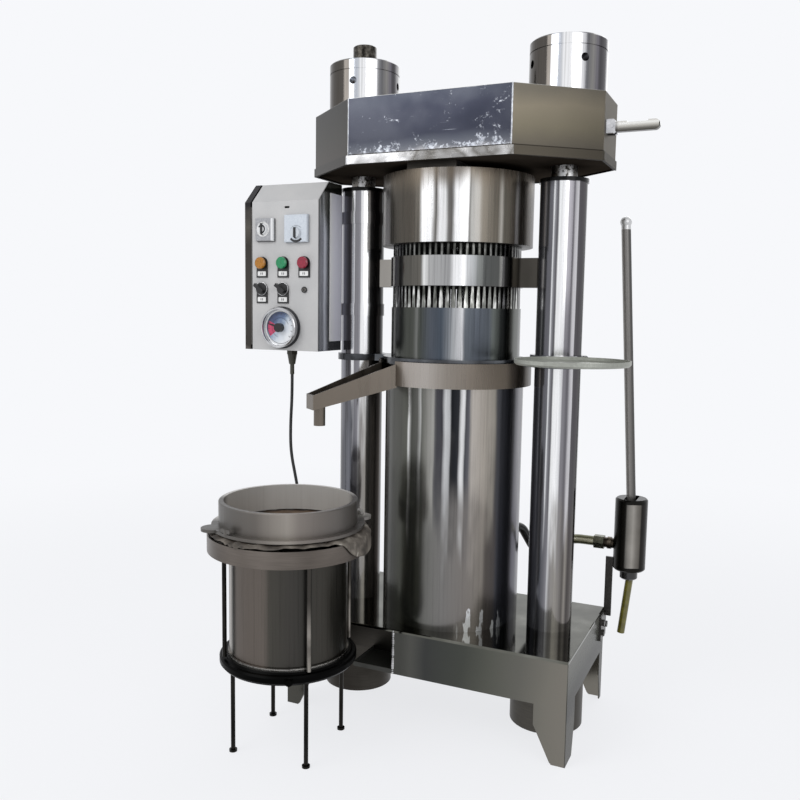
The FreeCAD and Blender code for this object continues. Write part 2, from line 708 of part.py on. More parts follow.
def head_block():
    block = cyl(HEAD_R - THIN - PIN_FIT, 0, 0, HEAD_BOTTOM, HEAD_TOP)
    flange_bottom = KEY_FLANGE_Z + HOLE_PLAY
    neck = box(-KEY_NECK_HALF, KEY_NECK_HALF, KEY_FRONT, KEY_REAR, HEAD_TOP, flange_bottom + 1)
    flange = box(-KEY_HALF, KEY_HALF, KEY_FRONT, KEY_REAR, flange_bottom, flange_bottom + KEY_FLANGE_T)
    return join(block, neck, flange)


# Latch
def latch_clevis():
    x1 = LATCH_PIVOT_X + CLEVIS_HALF_Z / 2
    block = box(BEAM_HALF_X, x1, LATCH_Y - CLEVIS_HALF_Y, LATCH_Y + CLEVIS_HALF_Y,
                LATCH_Z - CLEVIS_HALF_Z, LATCH_Z + CLEVIS_HALF_Z)
    block = eased(block, 4, lambda e: abs(e.BoundBox.XMin - x1) < 0.01 and e.BoundBox.YLength > 5)
    half = LATCH_T / 2 + GAP
    slot = box(BEAM_HALF_X + 1.5, x1 + 1, LATCH_Y - half, LATCH_Y + half, 0, 2 * LATCH_Z)
    reach = CLEVIS_HALF_Y + 2
    pin = face_rod(LATCH_PIN_R, LATCH_PIVOT_X, LATCH_Z, LATCH_Y - reach, LATCH_Y + reach)
    return group(block.cut(slot).cut(pin), pin)


def beam_handle():
    half = LATCH_HEIGHT / 2
    y0 = LATCH_Y - LATCH_T / 2
    y1 = LATCH_Y + LATCH_T / 2
    end = LATCH_PIVOT_X + LATCH_LENGTH
    bar = box(LATCH_PIVOT_X, end - half, y0, y1, LATCH_Z - half, LATCH_Z + half)
    round_ends = [face_rod(half, x, LATCH_Z, y0, y1) for x in (LATCH_PIVOT_X, end - half)]
    grip_x = end - half - LATCH_GRIP
    waist = box(LATCH_PIVOT_X + LATCH_WAIST_START, grip_x, y0 - 1, y1 + 1,
                LATCH_Z + half - LATCH_WAIST_CUT, LATCH_Z + half + 1)
    bar = join(bar, *round_ends).cut(waist)
    return bar.cut(face_rod(LATCH_PIN_R + PIN_FIT, LATCH_PIVOT_X, LATCH_Z, y0 - 1, y1 + 1))


# Swing tray
DISH_X = COLUMN_X + DISH_REACH * math.cos(math.radians(DISH_ANGLE))
DISH_Y = DISH_REACH * math.sin(math.radians(DISH_ANGLE))
DISH_BOTTOM = PLATE_TOP + 1.0


def tray_dish():
    top = DISH_BOTTOM + DISH_DEPTH
    wall = THIN
    profile = [(0, DISH_BOTTOM), (DISH_R - 4, DISH_BOTTOM), (DISH_R, DISH_BOTTOM + 4), (DISH_R, top),
               (DISH_R - wall, top), (DISH_R - wall, DISH_BOTTOM + 4 + wall / 2),
               (DISH_R - 4 - wall, DISH_BOTTOM + wall), (0, DISH_BOTTOM + wall)]
    return revolve(profile, DISH_X, DISH_Y)


def tray_collar():
    ring = tube(COLLAR_R, SLEEVE_R + GAP, COLUMN_X, 0, DISH_BOTTOM, DISH_BOTTOM + COLLAR_HEIGHT)
    arm = box(COLUMN_X + SLEEVE_R + 4, COLUMN_X + DISH_REACH - DISH_R + 6, -TRAY_ARM_WIDTH / 2,
              TRAY_ARM_WIDTH / 2, DISH_BOTTOM + 4, DISH_BOTTOM + 4 + TRAY_ARM_T)
    arm = turned(arm, DISH_ANGLE, COLUMN_X, 0).cut(cyl(DISH_R, DISH_X, DISH_Y, 0, 2 * DISH_BOTTOM))
    body = join(ring, arm)
    z = DISH_BOTTOM + COLLAR_HEIGHT / 2
    screw = join(rod(4, (COLUMN_X + SLEEVE_R + 1, 0, z), (COLUMN_X + COLLAR_R + 8, 0, z)),
                 rod(THUMB_R, (COLUMN_X + COLLAR_R + 4, 0, z), (COLUMN_X + COLLAR_R + 12, 0, z)))
    screw = turned(screw, -20, COLUMN_X, 0)
    return group(body.cut(screw), screw)


# Hand pump
def pump_body():
    body = cyl(PUMP_R, PUMP_X, PUMP_Y, PUMP_BOTTOM, PUMP_TOP)
    body = eased(body, 4, lambda e: e.BoundBox.ZLength < 0.01)
    reach = math.sqrt(PUMP_R ** 2 - (PUMP_FACE / 2) ** 2)
    flat = box(PUMP_X - PUMP_R, PUMP_X + PUMP_R, -PUMP_R - 5, -reach, 0, 2 * PUMP_TOP)
    flat = turned(flat.translated(V(0, PUMP_Y, 0)), PUMP_FACE_TURN, PUMP_X, PUMP_Y)
    half = LEVER_R + LEVER_PLAY
    throw = PUMP_R - 8
    slot = box(PUMP_X - half, PUMP_X + half, PUMP_Y - throw, PUMP_Y + throw,
               LEVER_PIVOT_Z - LEVER_R - 3, PUMP_TOP + 1)
    pin = rod(PUMP_PIN_R, (PUMP_X - PUMP_R + 2, PUMP_Y, LEVER_PIVOT_Z),
              (PUMP_X + PUMP_R - 2, PUMP_Y, LEVER_PIVOT_Z))
    return group(body.cut(group(flat, slot, pin)), pin)


def pump_gland():
    top = rod(PUMP_GLAND_R, (PUMP_X, PUMP_Y, PUMP_BOTTOM - PUMP_GLAND_HEIGHT), (PUMP_X, PUMP_Y, PUMP_BOTTOM))
    top = eased(top, 3, lambda e: abs(e.BoundBox.ZMax - PUMP_BOTTOM + PUMP_GLAND_HEIGHT) < 0.01)
    return group(top, drain_tube())


def drain_tube():
    z = PUMP_BOTTOM - PUMP_GLAND_HEIGHT
    outer = Part.makeCylinder(DRAIN_R, DRAIN_LENGTH, V(0, 0, -DRAIN_LENGTH))
    inner = Part.makeCylinder(DRAIN_R - DRAIN_WALL, DRAIN_LENGTH + 2, V(0, 0, -DRAIN_LENGTH - 1))
    body = outer.cut(inner)
    body.rotate(V(0, 0, 0), V(0, 1, 0), DRAIN_LEAN)
    body = body.translated(V(PUMP_X + 3, PUMP_Y, z + 2))
    return body.cut(box(PUMP_X - 60, PUMP_X + 60, PUMP_Y - 60, PUMP_Y + 60, z, z + 20))


def pump_lever():
    foot = V(PUMP_X, PUMP_Y, LEVER_PIVOT_Z)
    tip = V(LEVER_TOP_X, PUMP_Y, LEVER_TOP_Z)
    run = tip - foot
    bar = Part.makeCylinder(LEVER_R, run.Length, foot, run)
    end = rod(LEVER_R, (PUMP_X - LEVER_R + 1, PUMP_Y, LEVER_PIVOT_Z),
              (PUMP_X + LEVER_R - 1, PUMP_Y, LEVER_PIVOT_Z))
    knob = Part.makeSphere(LEVER_KNOB_R, tip)
    hole = rod(PUMP_PIN_R + PIN_FIT, (PUMP_X - PUMP_R, PUMP_Y, LEVER_PIVOT_Z),
               (PUMP_X + PUMP_R, PUMP_Y, LEVER_PIVOT_Z))
    return join(bar, end, knob).cut(hole)


def pump_bracket():
    """Foot plate on the base's side, an upright strap and a tab under the pump's side."""
    x0 = BASE_HALF_X
    strap_y = BASE_REAR - STRAP_T
    top = BASE_TOP - CLAMP_DROP
    strap_top = PUMP_BOTTOM + STRAP_RISE
    foot = box(x0, x0 + STRAP_T, BASE_REAR - CLAMP_WIDTH, BASE_REAR, top - CLAMP_HEIGHT, top)
    strap = box(x0, x0 + STRAP_WIDTH, strap_y, BASE_REAR, BASE_TOP - STRAP_LAP, strap_top)
    tab = box(x0, PUMP_X - PUMP_R + STRAP_BITE, strap_y, BASE_REAR, strap_top - STRAP_T, strap_top)
    body = join(foot, strap, tab).cut(cyl(PUMP_R, PUMP_X, PUMP_Y, 0, 2 * PUMP_TOP))
    face_x = x0 + STRAP_T
    bolts = []
    for back, drop in BOLT_PLACES:
        y = BASE_REAR - back
        z = BASE_TOP - drop
        bolts.append(rod(BOLT_R, (face_x, y, z), (face_x + BOLT_HEAD, y, z)))
    return group(body, *bolts)


def arc_path(points, share=0.45):
    """Straight runs joined by tangent arcs as large as each pair of runs allows, with the radii used."""
    corners = [V(*p) for p in points]
    edges = []
    radii = []
    last = corners[0]
    for before, corner, after in zip(corners, corners[1:], corners[2:]):
        back = (before - corner).normalize()
        ahead = (after - corner).normalize()
        turn = math.pi - back.getAngle(ahead)
        shorter = min((before - corner).Length, (after - corner).Length)
        setback = share * shorter
        radius = setback / math.tan(turn / 2)
        radii.append(radius)
        start = corner + back * setback
        end = corner + ahead * setback
        bisector = (back + ahead).normalize()
        centre = corner + bisector * (radius / math.cos(turn / 2))
        middle = centre - bisector * radius
        edges.append(Part.LineSegment(last, start).toShape())
        edges.append(Part.Arc(start, middle, end).toShape())
        last = end
    edges.append(Part.LineSegment(last, corners[-1]).toShape())
    return Part.Wire(edges), radii


def swept(points, radius, name):
    path, radii = arc_path(points)
    start = V(*points[0])
    direction = (V(*points[1]) - start).normalize()
    circle = Part.Wire(Part.Circle(start, direction, radius).toShape())
    solid = path.makePipeShell([circle], True, True)
    ratio = solid.Volume / (math.pi * radius ** 2 * path.Length)
    smallest = ", ".join("%.0f" % r for r in radii)
    print("%s: length %.1f, volume ratio %.4f, radii %s" % (name, path.Length, ratio, smallest))
    return solid


def feed_pipe():
    c = math.cos(math.radians(PIPE_PORT_ANGLE))
    s = math.sin(math.radians(PIPE_PORT_ANGLE))
    port_end = SHROUD_R + PIPE_PORT_LENGTH
    run_end = port_end + PIPE_RUN
    pump_side = PUMP_X - PUMP_R + 0.2
    fitting_x = pump_side - PIPE_FITTING
    points = [(fitting_x, PUMP_Y, PIPE_Z), (PIPE_BEND_X, PUMP_Y, PIPE_Z),
              (PIPE_DIP_X, PUMP_Y + 4, PIPE_Z - PIPE_DIP),
              (c * run_end, s * run_end, PIPE_PORT_Z), (c * port_end, s * port_end, PIPE_PORT_Z)]
    pipe = swept(points, PIPE_R, "feed pipe")
    nut = prism([(fitting_x - 6, PUMP_Y + PIPE_NUT_R * math.cos(a), PIPE_Z + PIPE_NUT_R * math.sin(a))
                 for a in [math.radians(60 * i) for i in range(6)]], (PIPE_NUT_LENGTH, 0, 0))
    nut = nut.cut(rod(PIPE_R, (fitting_x - 20, PUMP_Y, PIPE_Z), (fitting_x, PUMP_Y, PIPE_Z)))
    nut_end = fitting_x - 6 + PIPE_NUT_LENGTH
    neck = rod(PIPE_NECK_R, (nut_end, PUMP_Y, PIPE_Z), (pump_side, PUMP_Y, PIPE_Z))
    collar = rod(PIPE_COLLAR_R, (nut_end + 8, PUMP_Y, PIPE_Z), (nut_end + 18, PUMP_Y, PIPE_Z))
    boss = port(PIPE_PORT_R, CYLINDER_R, port_end).cut(cyl(CYLINDER_R, 0, 0, 0, SHROUD_TOP))
    return group(pipe, nut, join(neck, collar).cut(cyl(PUMP_R, PUMP_X, PUMP_Y, 0, PUMP_TOP)), boss)


# Control box
DOOR_LEFT = BOX_LEFT + RIM_WIDTH + HINGE_SPACE
HINGE_X = DOOR_LEFT - HINGE_SPACE / 2
HINGE_Y = BOX_FRONT + THIN / 2
FOLD_SHARE = math.tan(math.radians(22.5))
DOOR_SEAT = THIN + 0.6


def box_profile(inset, x):
    """Side outline of the box: upright front with a top that leans back, moved inward by inset."""
    fold_z = BOX_FOLD_Z - inset * FOLD_SHARE
    front = BOX_FRONT + inset
    top = BOX_TOP - inset
    rear = BOX_REAR - inset
    bottom = BOX_BOTTOM + inset
    return [(x, front, bottom), (x, front, fold_z), (x, front + top - fold_z, top), (x, rear, top),
            (x, rear, bottom)]


def front_skin(near, far, x0, x1, z0, top_trim):
    """Folded layer parallel to the box front, from depth near to depth far behind it."""
    top = BOX_TOP - top_trim

    def line(depth):
        fold_z = BOX_FOLD_Z - depth * FOLD_SHARE
        return [(x0, BOX_FRONT + depth, z0), (x0, BOX_FRONT + depth, fold_z),
                (x0, BOX_FRONT + depth + top - fold_z, top)]
    outline = line(near) + list(reversed(line(far)))
    return prism(outline, (x1 - x0, 0, 0))


def control_box():
    outer = prism(box_profile(0, BOX_LEFT), (BOX_RIGHT - BOX_LEFT, 0, 0))
    inner = prism(box_profile(THIN, BOX_LEFT + THIN), (BOX_RIGHT - BOX_LEFT - 2 * THIN, 0, 0))
    doorway = front_skin(-1, DOOR_SEAT, BOX_LEFT + RIM_WIDTH, BOX_RIGHT + 1, BOX_BOTTOM - 1, -1)
    gland_hole = cyl(9, GLAND_X, GLAND_Y, BOX_BOTTOM - 1, BOX_BOTTOM + THIN + 1)
    return group(outer.cut(inner).cut(doorway).cut(gland_hole), side_plate())


def side_plate():
    return box(BOX_RIGHT, BOX_RIGHT + 1.5, FILM_FRONT, BOX_REAR, BOX_BOTTOM + 24, BOX_TOP - 26)


def box_bracket():
    pieces = []
    for z in (STRAP_LOW_Z, STRAP_HIGH_Z):
        outer = SLEEVE_R + PIN_FIT + STRAP_RING_T
        ring = cyl(outer, -COLUMN_X, 0, z, z + STRAP_RING_H)
        arm = box(-COLUMN_X - 2 * SLEEVE_R - 60, -COLUMN_X - 30, BOX_REAR, BOX_REAR + 6, z, z + STRAP_RING_H)
        bore = cyl(SLEEVE_R + PIN_FIT, -COLUMN_X, 0, z - 1, z + STRAP_RING_H + 1)
        pieces.append(join(ring, arm).cut(bore))
    return group(*pieces)


def door_hinge():
    return rod(HINGE_R, (HINGE_X, HINGE_Y, BOX_BOTTOM + 12), (HINGE_X, HINGE_Y, BOX_FOLD_Z - 12))


def box_door():
    skin = front_skin(0, THIN, DOOR_LEFT, BOX_RIGHT, BOX_BOTTOM, 0.5)
    behind = BOX_FRONT + THIN + 1
    cuts = [face_rod(STEM_R + HOLE_PLAY, x, BUTTON_Z, BOX_FRONT - 1, behind) for x in BUTTON_XS]
    cuts += [face_rod(STEM_R + HOLE_PLAY, x, SELECTOR_Z, BOX_FRONT - 1, behind) for x in BUTTON_XS[:2]]
    cuts.append(face_rod(LOCK_R - 1, LOCK_X, LOCK_Z, BOX_FRONT - 1, behind))
    cuts.append(face_rod(GAUGE_R - 10, GAUGE_X, GAUGE_Z, BOX_FRONT - 1, behind))
    sight = join(box(SIGHT_X - 5, SIGHT_X + 5, BOX_FRONT - 1, behind, SIGHT_Z - 2.5, SIGHT_Z + 2.5),
                 face_rod(2.5, SIGHT_X - 5, SIGHT_Z, BOX_FRONT - 1, behind),
                 face_rod(2.5, SIGHT_X + 5, SIGHT_Z, BOX_FRONT - 1, behind))
    return skin.cut(group(sight, *cuts))


def door_lock():
    head = face_rod(LOCK_R, LOCK_X, LOCK_Z, BOX_FRONT - 3, BOX_FRONT)
    barrel = face_rod(LOCK_R - 1 - PIN_FIT, LOCK_X, LOCK_Z, BOX_FRONT, BOX_FRONT + 20)
    cam = box(LOCK_X - 5, LOCK_X + 30, BOX_FRONT + 14, BOX_FRONT + 16, LOCK_Z - 5, LOCK_Z + 5)
    return join(head, barrel, cam)


def holder(x, z):
    """Bezel with a bored collar and the label plate below it."""
    front = BOX_FRONT - HOLDER_T
    plate = box(x - HOLDER_WIDTH / 2, x + HOLDER_WIDTH / 2, front, BOX_FRONT, z - HOLDER_DROP, z)
    crown = face_rod(HOLDER_WIDTH / 2, x, z, front, BOX_FRONT)
    collar = face_rod(BEZEL_R, x, z, BOX_FRONT - BEZEL_DEPTH, BOX_FRONT)
    body = join(plate, crown, collar)
    return body.cut(face_rod(STEM_R + SLIDE_FIT, x, z, BOX_FRONT - BEZEL_DEPTH - 1, BOX_FRONT + 1))


def button_holders():
    return group(*[holder(x, BUTTON_Z) for x in BUTTON_XS], *[holder(x, SELECTOR_Z) for x in BUTTON_XS[:2]])


def button(x):
    head_back = BOX_FRONT - BEZEL_DEPTH - BUTTON_TRAVEL - HOLE_PLAY
    head = face_rod(BUTTON_R, x, BUTTON_Z, head_back - BUTTON_T, head_back)
    head = eased(head, 2, lambda e: e.BoundBox.YMax < head_back - BUTTON_T + 1)
    stem = face_rod(STEM_R, x, BUTTON_Z, head_back, BOX_FRONT + BUTTON_STEM)
    return join(head, stem)


def selector(x):
    front = BOX_FRONT - BEZEL_DEPTH
    stem = face_rod(STEM_R, x, SELECTOR_Z, front - GAP, BOX_FRONT - 1)
    disc = face_rod(BUTTON_R, x, SELECTOR_Z, front - 4, front - GAP)
    blade = box(x - 18, x + 12, front - 14, front - 4, SELECTOR_Z - 4, SELECTOR_Z + 4)
    knob = join(stem, disc, blade)
    knob.rotate(V(x, 0, SELECTOR_Z), V(0, 1, 0), 35)
    return knob


def meter_frames():
    frames = []
    for (x, z, width, height), (knob_x, knob_z, knob_r) in zip(METER_SIZES, METER_KNOBS):
        front = BOX_FRONT - METER_DEPTH
        frame = box(x - width / 2, x + width / 2, front, BOX_FRONT, z - height / 2, z + height / 2)
        frame = eased(frame, 2, lambda e: e.BoundBox.YMax < front + 0.01)
        frames.append(frame.cut(face_rod(4 + PIN_FIT, knob_x, knob_z, front - 1, BOX_FRONT - 2)))
    return group(*frames)


def meter_knob(index):
    x, z, radius = METER_KNOBS[index]
    back = BOX_FRONT - METER_DEPTH - GAP
    body = Part.makeCone(radius, radius - 2, KNOB_DEPTH, V(x, back, z), V(0, -1, 0))
    grip = box(x - 2.5, x + 2.5, back - KNOB_DEPTH - 3, back - 2, z - radius + 3, z + radius - 1)
    shaft = face_rod(4, x, z, back, BOX_FRONT - 3)
    return join(body, grip, shaft)


def gauge_case():
    front = BOX_FRONT - GAUGE_DEPTH
    drum = face_rod(GAUGE_R, GAUGE_X, GAUGE_Z, front, BOX_FRONT)
    drum = eased(drum, 2, lambda e: e.BoundBox.YMax < front + 0.01)
    recess = face_rod(GAUGE_R - GAUGE_RIM, GAUGE_X, GAUGE_Z, front - 1, BOX_FRONT - 8)
    rear = face_rod(GAUGE_R - 10 - PIN_FIT, GAUGE_X, GAUGE_Z, BOX_FRONT, BOX_FRONT + 26)
    hole = face_rod(3 + PIN_FIT, GAUGE_X, GAUGE_Z, BOX_FRONT - 9, BOX_FRONT - 2)
    return join(drum.cut(recess), rear).cut(hole)


def gauge_pointer():
    back = BOX_FRONT - 8 - GAP
    hub = face_rod(GAUGE_HUB_R, GAUGE_X, GAUGE_Z, BOX_FRONT - GAUGE_DEPTH, back)
    blade = prism([(GAUGE_X - 4, back - 2, GAUGE_Z), (GAUGE_X + 4, back - 2, GAUGE_Z),
                   (GAUGE_X + 0.6, back - 2, GAUGE_Z + 38), (GAUGE_X - 0.6, back - 2, GAUGE_Z + 38)],
                  (0, 1.5, 0))
    blade.rotate(V(GAUGE_X, 0, GAUGE_Z), V(0, 1, 0), -75)
    shaft = face_rod(3, GAUGE_X, GAUGE_Z, back, BOX_FRONT - 3)
    return join(hub, blade, shaft)


def cable_gland():
    nut_bottom = BOX_BOTTOM - 12
    nut = prism([(GLAND_X + 15 * math.cos(a), GLAND_Y + 15 * math.sin(a), nut_bottom)
                 for a in [math.radians(60 * i) for i in range(6)]], (0, 0, 12))
    taper = Part.makeCone(8, 12.5, 26, V(GLAND_X, GLAND_Y, nut_bottom - 26))
    sleeve = cyl(5.5, GLAND_X, GLAND_Y, GLAND_TIP_Z, nut_bottom - 26)
    thread = cyl(8.9, GLAND_X, GLAND_Y, BOX_BOTTOM, BOX_BOTTOM + THIN)
    lock_nut = cyl(13, GLAND_X, GLAND_Y, BOX_BOTTOM + THIN, BOX_BOTTOM + THIN + 5)
    return join(nut, taper, sleeve, thread, lock_nut)


# Mains lead
LEAD_POINTS = [
    (GLAND_X, GLAND_Y, GLAND_TIP_Z), (GLAND_X, GLAND_Y, 774), (-417, -98, 702), (-414, -102, 630),
    (-399, -103, 566), (-386, -101, 500), (-381, -96, 427), (-385, -89, 348), (-394, -79, 270),
    (-401, -66, 192), (-405, -48, 124),
    (-414, -24, 66), (-431, 6, 24), (-457, 36, 5), (-474, 59, 4.2),
]


def power_lead():
    return swept(LEAD_POINTS, CORD_R, "power lead")


def power_coil():
    r0 = COIL_R - COIL_HALF
    r1 = COIL_R + COIL_HALF
    bevel = 5
    profile = [(r0 + bevel, 0.2), (r1 - bevel, 0.2), (r1, bevel), (r1, COIL_HEIGHT - bevel),
               (r1 - bevel, COIL_HEIGHT), (r0 + bevel, COIL_HEIGHT), (r0, COIL_HEIGHT - bevel), (r0, bevel)]
    return revolve(profile, COIL_X, COIL_Y)


def power_plug():
    """Plug at the cord's end, lying where its last turn leaves the coil."""
    x = COIL_X + COIL_R
    y0 = COIL_Y + PLUG_START
    z = PLUG_R + 0.2
    along = V(0, 1, 0)
    relief = Part.makeCone(5.5, 8, 18, V(x, y0, z), along)
    body = Part.makeCone(9, PLUG_R, PLUG_LENGTH - 18, V(x, y0 + 18, z), along)
    pins = [Part.makeCylinder(2.4, 19, V(x + dx, y0 + PLUG_LENGTH, z), along) for dx in (-9.5, 9.5)]
    return join(relief, body, *pins)


# Filter drum
def around_drum(shape, angle):
    return turned(shape, angle, DRUM_X, DRUM_Y)


def drum_base():
    z1 = DRUM_BASE_Z + DRUM_BASE_H
    r = DRUM_BASE_R
    profile = [(0, DRUM_BASE_Z + 6), (r - 14, DRUM_BASE_Z + 6), (r - 12, DRUM_BASE_Z), (r - 5, DRUM_BASE_Z),
               (r, DRUM_BASE_Z + 6), (r, z1 - 9), (r - 3, z1 - 5), (r - 9, z1 - 4), (r - 12, z1), (0, z1)]
    disc = revolve(profile, DRUM_X, DRUM_Y)
    facing = math.degrees(math.atan2(-0.847, 0.531))
    port_x = DRUM_X + r
    fitting = join(rod(7, (port_x - 8, DRUM_Y, DRUM_BASE_Z + 12), (port_x + 10, DRUM_Y, DRUM_BASE_Z + 12)),
                   rod(9, (port_x + 2, DRUM_Y, DRUM_BASE_Z + 12), (port_x + 7, DRUM_Y, DRUM_BASE_Z + 12)))
    fitting = around_drum(fitting, facing)
    return group(disc.cut(fitting), fitting)


def drum_tank():
    z0 = DRUM_BASE_Z + DRUM_BASE_H
    wall = THIN
    profile = [(0, z0), (TANK_R + 3, z0), (TANK_R + 3, z0 + TANK_SEAM), (TANK_R, z0 + TANK_SEAM),
               (TANK_R, FLANGE_Z - CLOTH_T), (TANK_R - wall, FLANGE_Z - CLOTH_T), (TANK_R - wall, z0 + wall),
               (0, z0 + wall)]
    return revolve(profile, DRUM_X, DRUM_Y)


def drum_gutter():
    low = GUTTER_BOTTOM
    inner = GUTTER_R - SHEET
    profile = [(TANK_R + PIN_FIT, low + 8), (TANK_R + 8, low + 8), (TANK_R + 8, low + 5), (inner, low + 5),
               (inner, low), (GUTTER_R, low), (GUTTER_R, GUTTER_TOP), (inner, GUTTER_TOP), (inner, low + 11),
               (TANK_R + PIN_FIT, GUTTER_BOTTOM + 11)]
    ring = revolve(profile, DRUM_X, DRUM_Y)
    holes = [around_drum(cyl(DRUM_ROD_R + HOLE_PLAY, DRUM_X + DRUM_ROD_RADIUS, DRUM_Y, 0, GUTTER_TOP),
                         DRUM_ROD_ANGLE + 90 * i) for i in range(4)]
    return ring.cut(group(*holes))


def drum_rods():
    rods = []
    top = GUTTER_BOTTOM + 22
    for i in range(4):
        angle = DRUM_ROD_ANGLE + 90 * i
        x = DRUM_X + DRUM_ROD_RADIUS
        upper = cyl(DRUM_ROD_R, x, DRUM_Y, DRUM_BASE_Z + DRUM_BASE_H, top)
        cap = cyl(8, x, DRUM_Y, GUTTER_BOTTOM + 11, GUTTER_BOTTOM + 19)
        rods.append(around_drum(join(upper, cap), angle))
    base_hole = DRUM_BASE_Z + 6
    for i in range(4):
        angle = DRUM_ROD_ANGLE + 90 * i
        x = DRUM_X + DRUM_ROD_RADIUS - 18
        leg = join(cyl(DRUM_ROD_R, x, DRUM_Y, 3, base_hole), cyl(DRUM_FOOT_R, x, DRUM_Y, 0, 5))
        rods.append(around_drum(leg, angle))
    return group(*rods)


def eared(radius, z0, z1):
    """Round plate with two rounded ears."""
    plate = cyl(radius, DRUM_X, DRUM_Y, z0, z1)
    for angle in CLIP_ANGLES:
        reach = EAR_REACH - EAR_HALF
        ear = join(box(DRUM_X, DRUM_X + reach, DRUM_Y - EAR_HALF, DRUM_Y + EAR_HALF, z0, z1),
                   cyl(EAR_HALF, DRUM_X + reach, DRUM_Y, z0, z1))
        plate = plate.fuse(around_drum(ear, angle))
    return plate.removeSplitter()


def filter_cloth():
    """Folded filter cloth clamped between the tank and the ring, with its stained top."""
    return eared(FLANGE_R - 1, FLANGE_Z - CLOTH_T, FLANGE_Z)


def filter_ring():
    flange = eared(FLANGE_R, FLANGE_Z + GAP, FLANGE_Z + FLANGE_T)
    wall = cyl(RING_R, DRUM_X, DRUM_Y, FLANGE_Z + FLANGE_T - 1, RING_TOP)
    wall = eased(wall, 2, lambda e: abs(e.BoundBox.ZMin - RING_TOP) < 0.01)
    bore = cyl(RING_R - RING_WALL, DRUM_X, DRUM_Y, 0, RING_TOP + 1)
    return join(flange, wall).cut(bore)


def ring_clips():
    """Wing screws through the ring's ears, resting on the flange."""
    clips = []
    z = FLANGE_Z + FLANGE_T
    for angle in CLIP_ANGLES:
        x = DRUM_X + EAR_REACH - EAR_HALF
        stem = cyl(6, x, DRUM_Y, z, z + 12)
        wing = box(x - 4, x + 4, DRUM_Y - 17, DRUM_Y + 17, z + 4, z + 12)
        wing = eased(wing, 3, lambda e: e.BoundBox.XLength > 7 and e.BoundBox.YLength < 0.01)
        clips.append(around_drum(join(stem, wing), angle + 25 if angle < 0 else angle))
    return group(*clips)


CORD_NODES = ("power_lead", "power_coil", "power_plug")


def build():
    pieces = {
        "base_top_plate": base_top_plate(),
        "base_front_panels": base_front_panels(),
        "base_rear_panels": base_rear_panels(),
        "lower_crosshead": lower_crosshead(),
        "lower_nuts": lower_nuts(),
        "tie_rods": tie_rods(),
        "column_sleeves": column_sleeves(),
        "column_nuts": column_nuts(),
        "upper_crosshead": upper_crosshead(),
        "beam_cover": beam_cover(),
        "main_cylinder": main_cylinder(),
        "gland_ring": gland_ring(),
        "ram_seal": ram_seal(),
        "cylinder_shroud": cylinder_shroud(),
        "ram": ram(),
        "press_plate": press_plate(),
        "oil_tray": oil_tray(),
        "outlet_pipe": outlet_pipe(),
        "barrel_plate": barrel_plate(),
        "press_cage": press_cage(),
        "cage_band": cage_band(),
        "guard_sleeve": guard_sleeve(),
        "head_cover": head_cover(),
        "head_block": head_block(),
        "latch_clevis": latch_clevis(),
        "beam_handle": beam_handle(),
        "tray_dish": tray_dish(),
        "tray_collar": tray_collar(),
        "pump_body": pump_body(),
        "pump_gland": pump_gland(),
        "pump_lever": pump_lever(),
        "pump_bracket": pump_bracket(),
        "feed_pipe": feed_pipe(),
        "control_box": control_box(),
        "box_bracket": box_bracket(),
        "door_hinge": door_hinge(),
        "box_door": box_door(),
        "door_lock": door_lock(),
        "button_holders": button_holders(),
        "button_yellow": button(BUTTON_XS[0]),
        "button_green": button(BUTTON_XS[1]),
        "button_red": button(BUTTON_XS[2]),
        "selector_left": selector(BUTTON_XS[0]),
        "selector_right": selector(BUTTON_XS[1]),
        "meter_frames": meter_frames(),
        "meter_knob_left": meter_knob(0),
        "meter_knob_right": meter_knob(1),
        "gauge_case": gauge_case(),
        "gauge_pointer": gauge_pointer(),
        "cable_gland": cable_gland(),
        "power_lead": power_lead(),
        "power_coil": power_coil(),
        "power_plug": power_plug(),
        "drum_base": drum_base(),
        "drum_tank": drum_tank(),
        "drum_gutter": drum_gutter(),
        "drum_rods": drum_rods(),
        "filter_cloth": filter_cloth(),
        "filter_ring": filter_ring(),
        "ring_clips": ring_clips(),
    }
    whole = FreeCAD.BoundBox()
    for name, shape in pieces.items():
        if name not in CORD_NODES:
            whole.add(shape.optimalBoundingBox())
    shift = V(-whole.Center.x, -whole.Center.y, -whole.ZMin)
    return {name: shape.translated(shift) for name, shape in pieces.items()}, shift


def main():
    os.makedirs("parts", exist_ok=True)
    pieces, shift = build()
    for name, shape in pieces.items():
        shape.exportStep("parts/%s.step" % name)
    print("%d pieces, moved by %.3f, %.3f, %.3f" % (len(pieces), shift.x, shift.y, shift.z))


main()
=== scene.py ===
import bmesh
import bpy
import math
from mathutils import Matrix, Vector, noise


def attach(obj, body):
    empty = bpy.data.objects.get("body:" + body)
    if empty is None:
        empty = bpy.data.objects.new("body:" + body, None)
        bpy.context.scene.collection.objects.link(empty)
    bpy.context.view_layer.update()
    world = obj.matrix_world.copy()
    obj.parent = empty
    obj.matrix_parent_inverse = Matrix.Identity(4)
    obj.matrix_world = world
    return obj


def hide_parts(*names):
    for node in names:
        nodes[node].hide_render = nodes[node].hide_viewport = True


# Looks of an upright two-column oil press with its hand pump, control box and filter drum.
# Places are in millimetres about the press axis, as in the part's source, and at() turns them to metres.

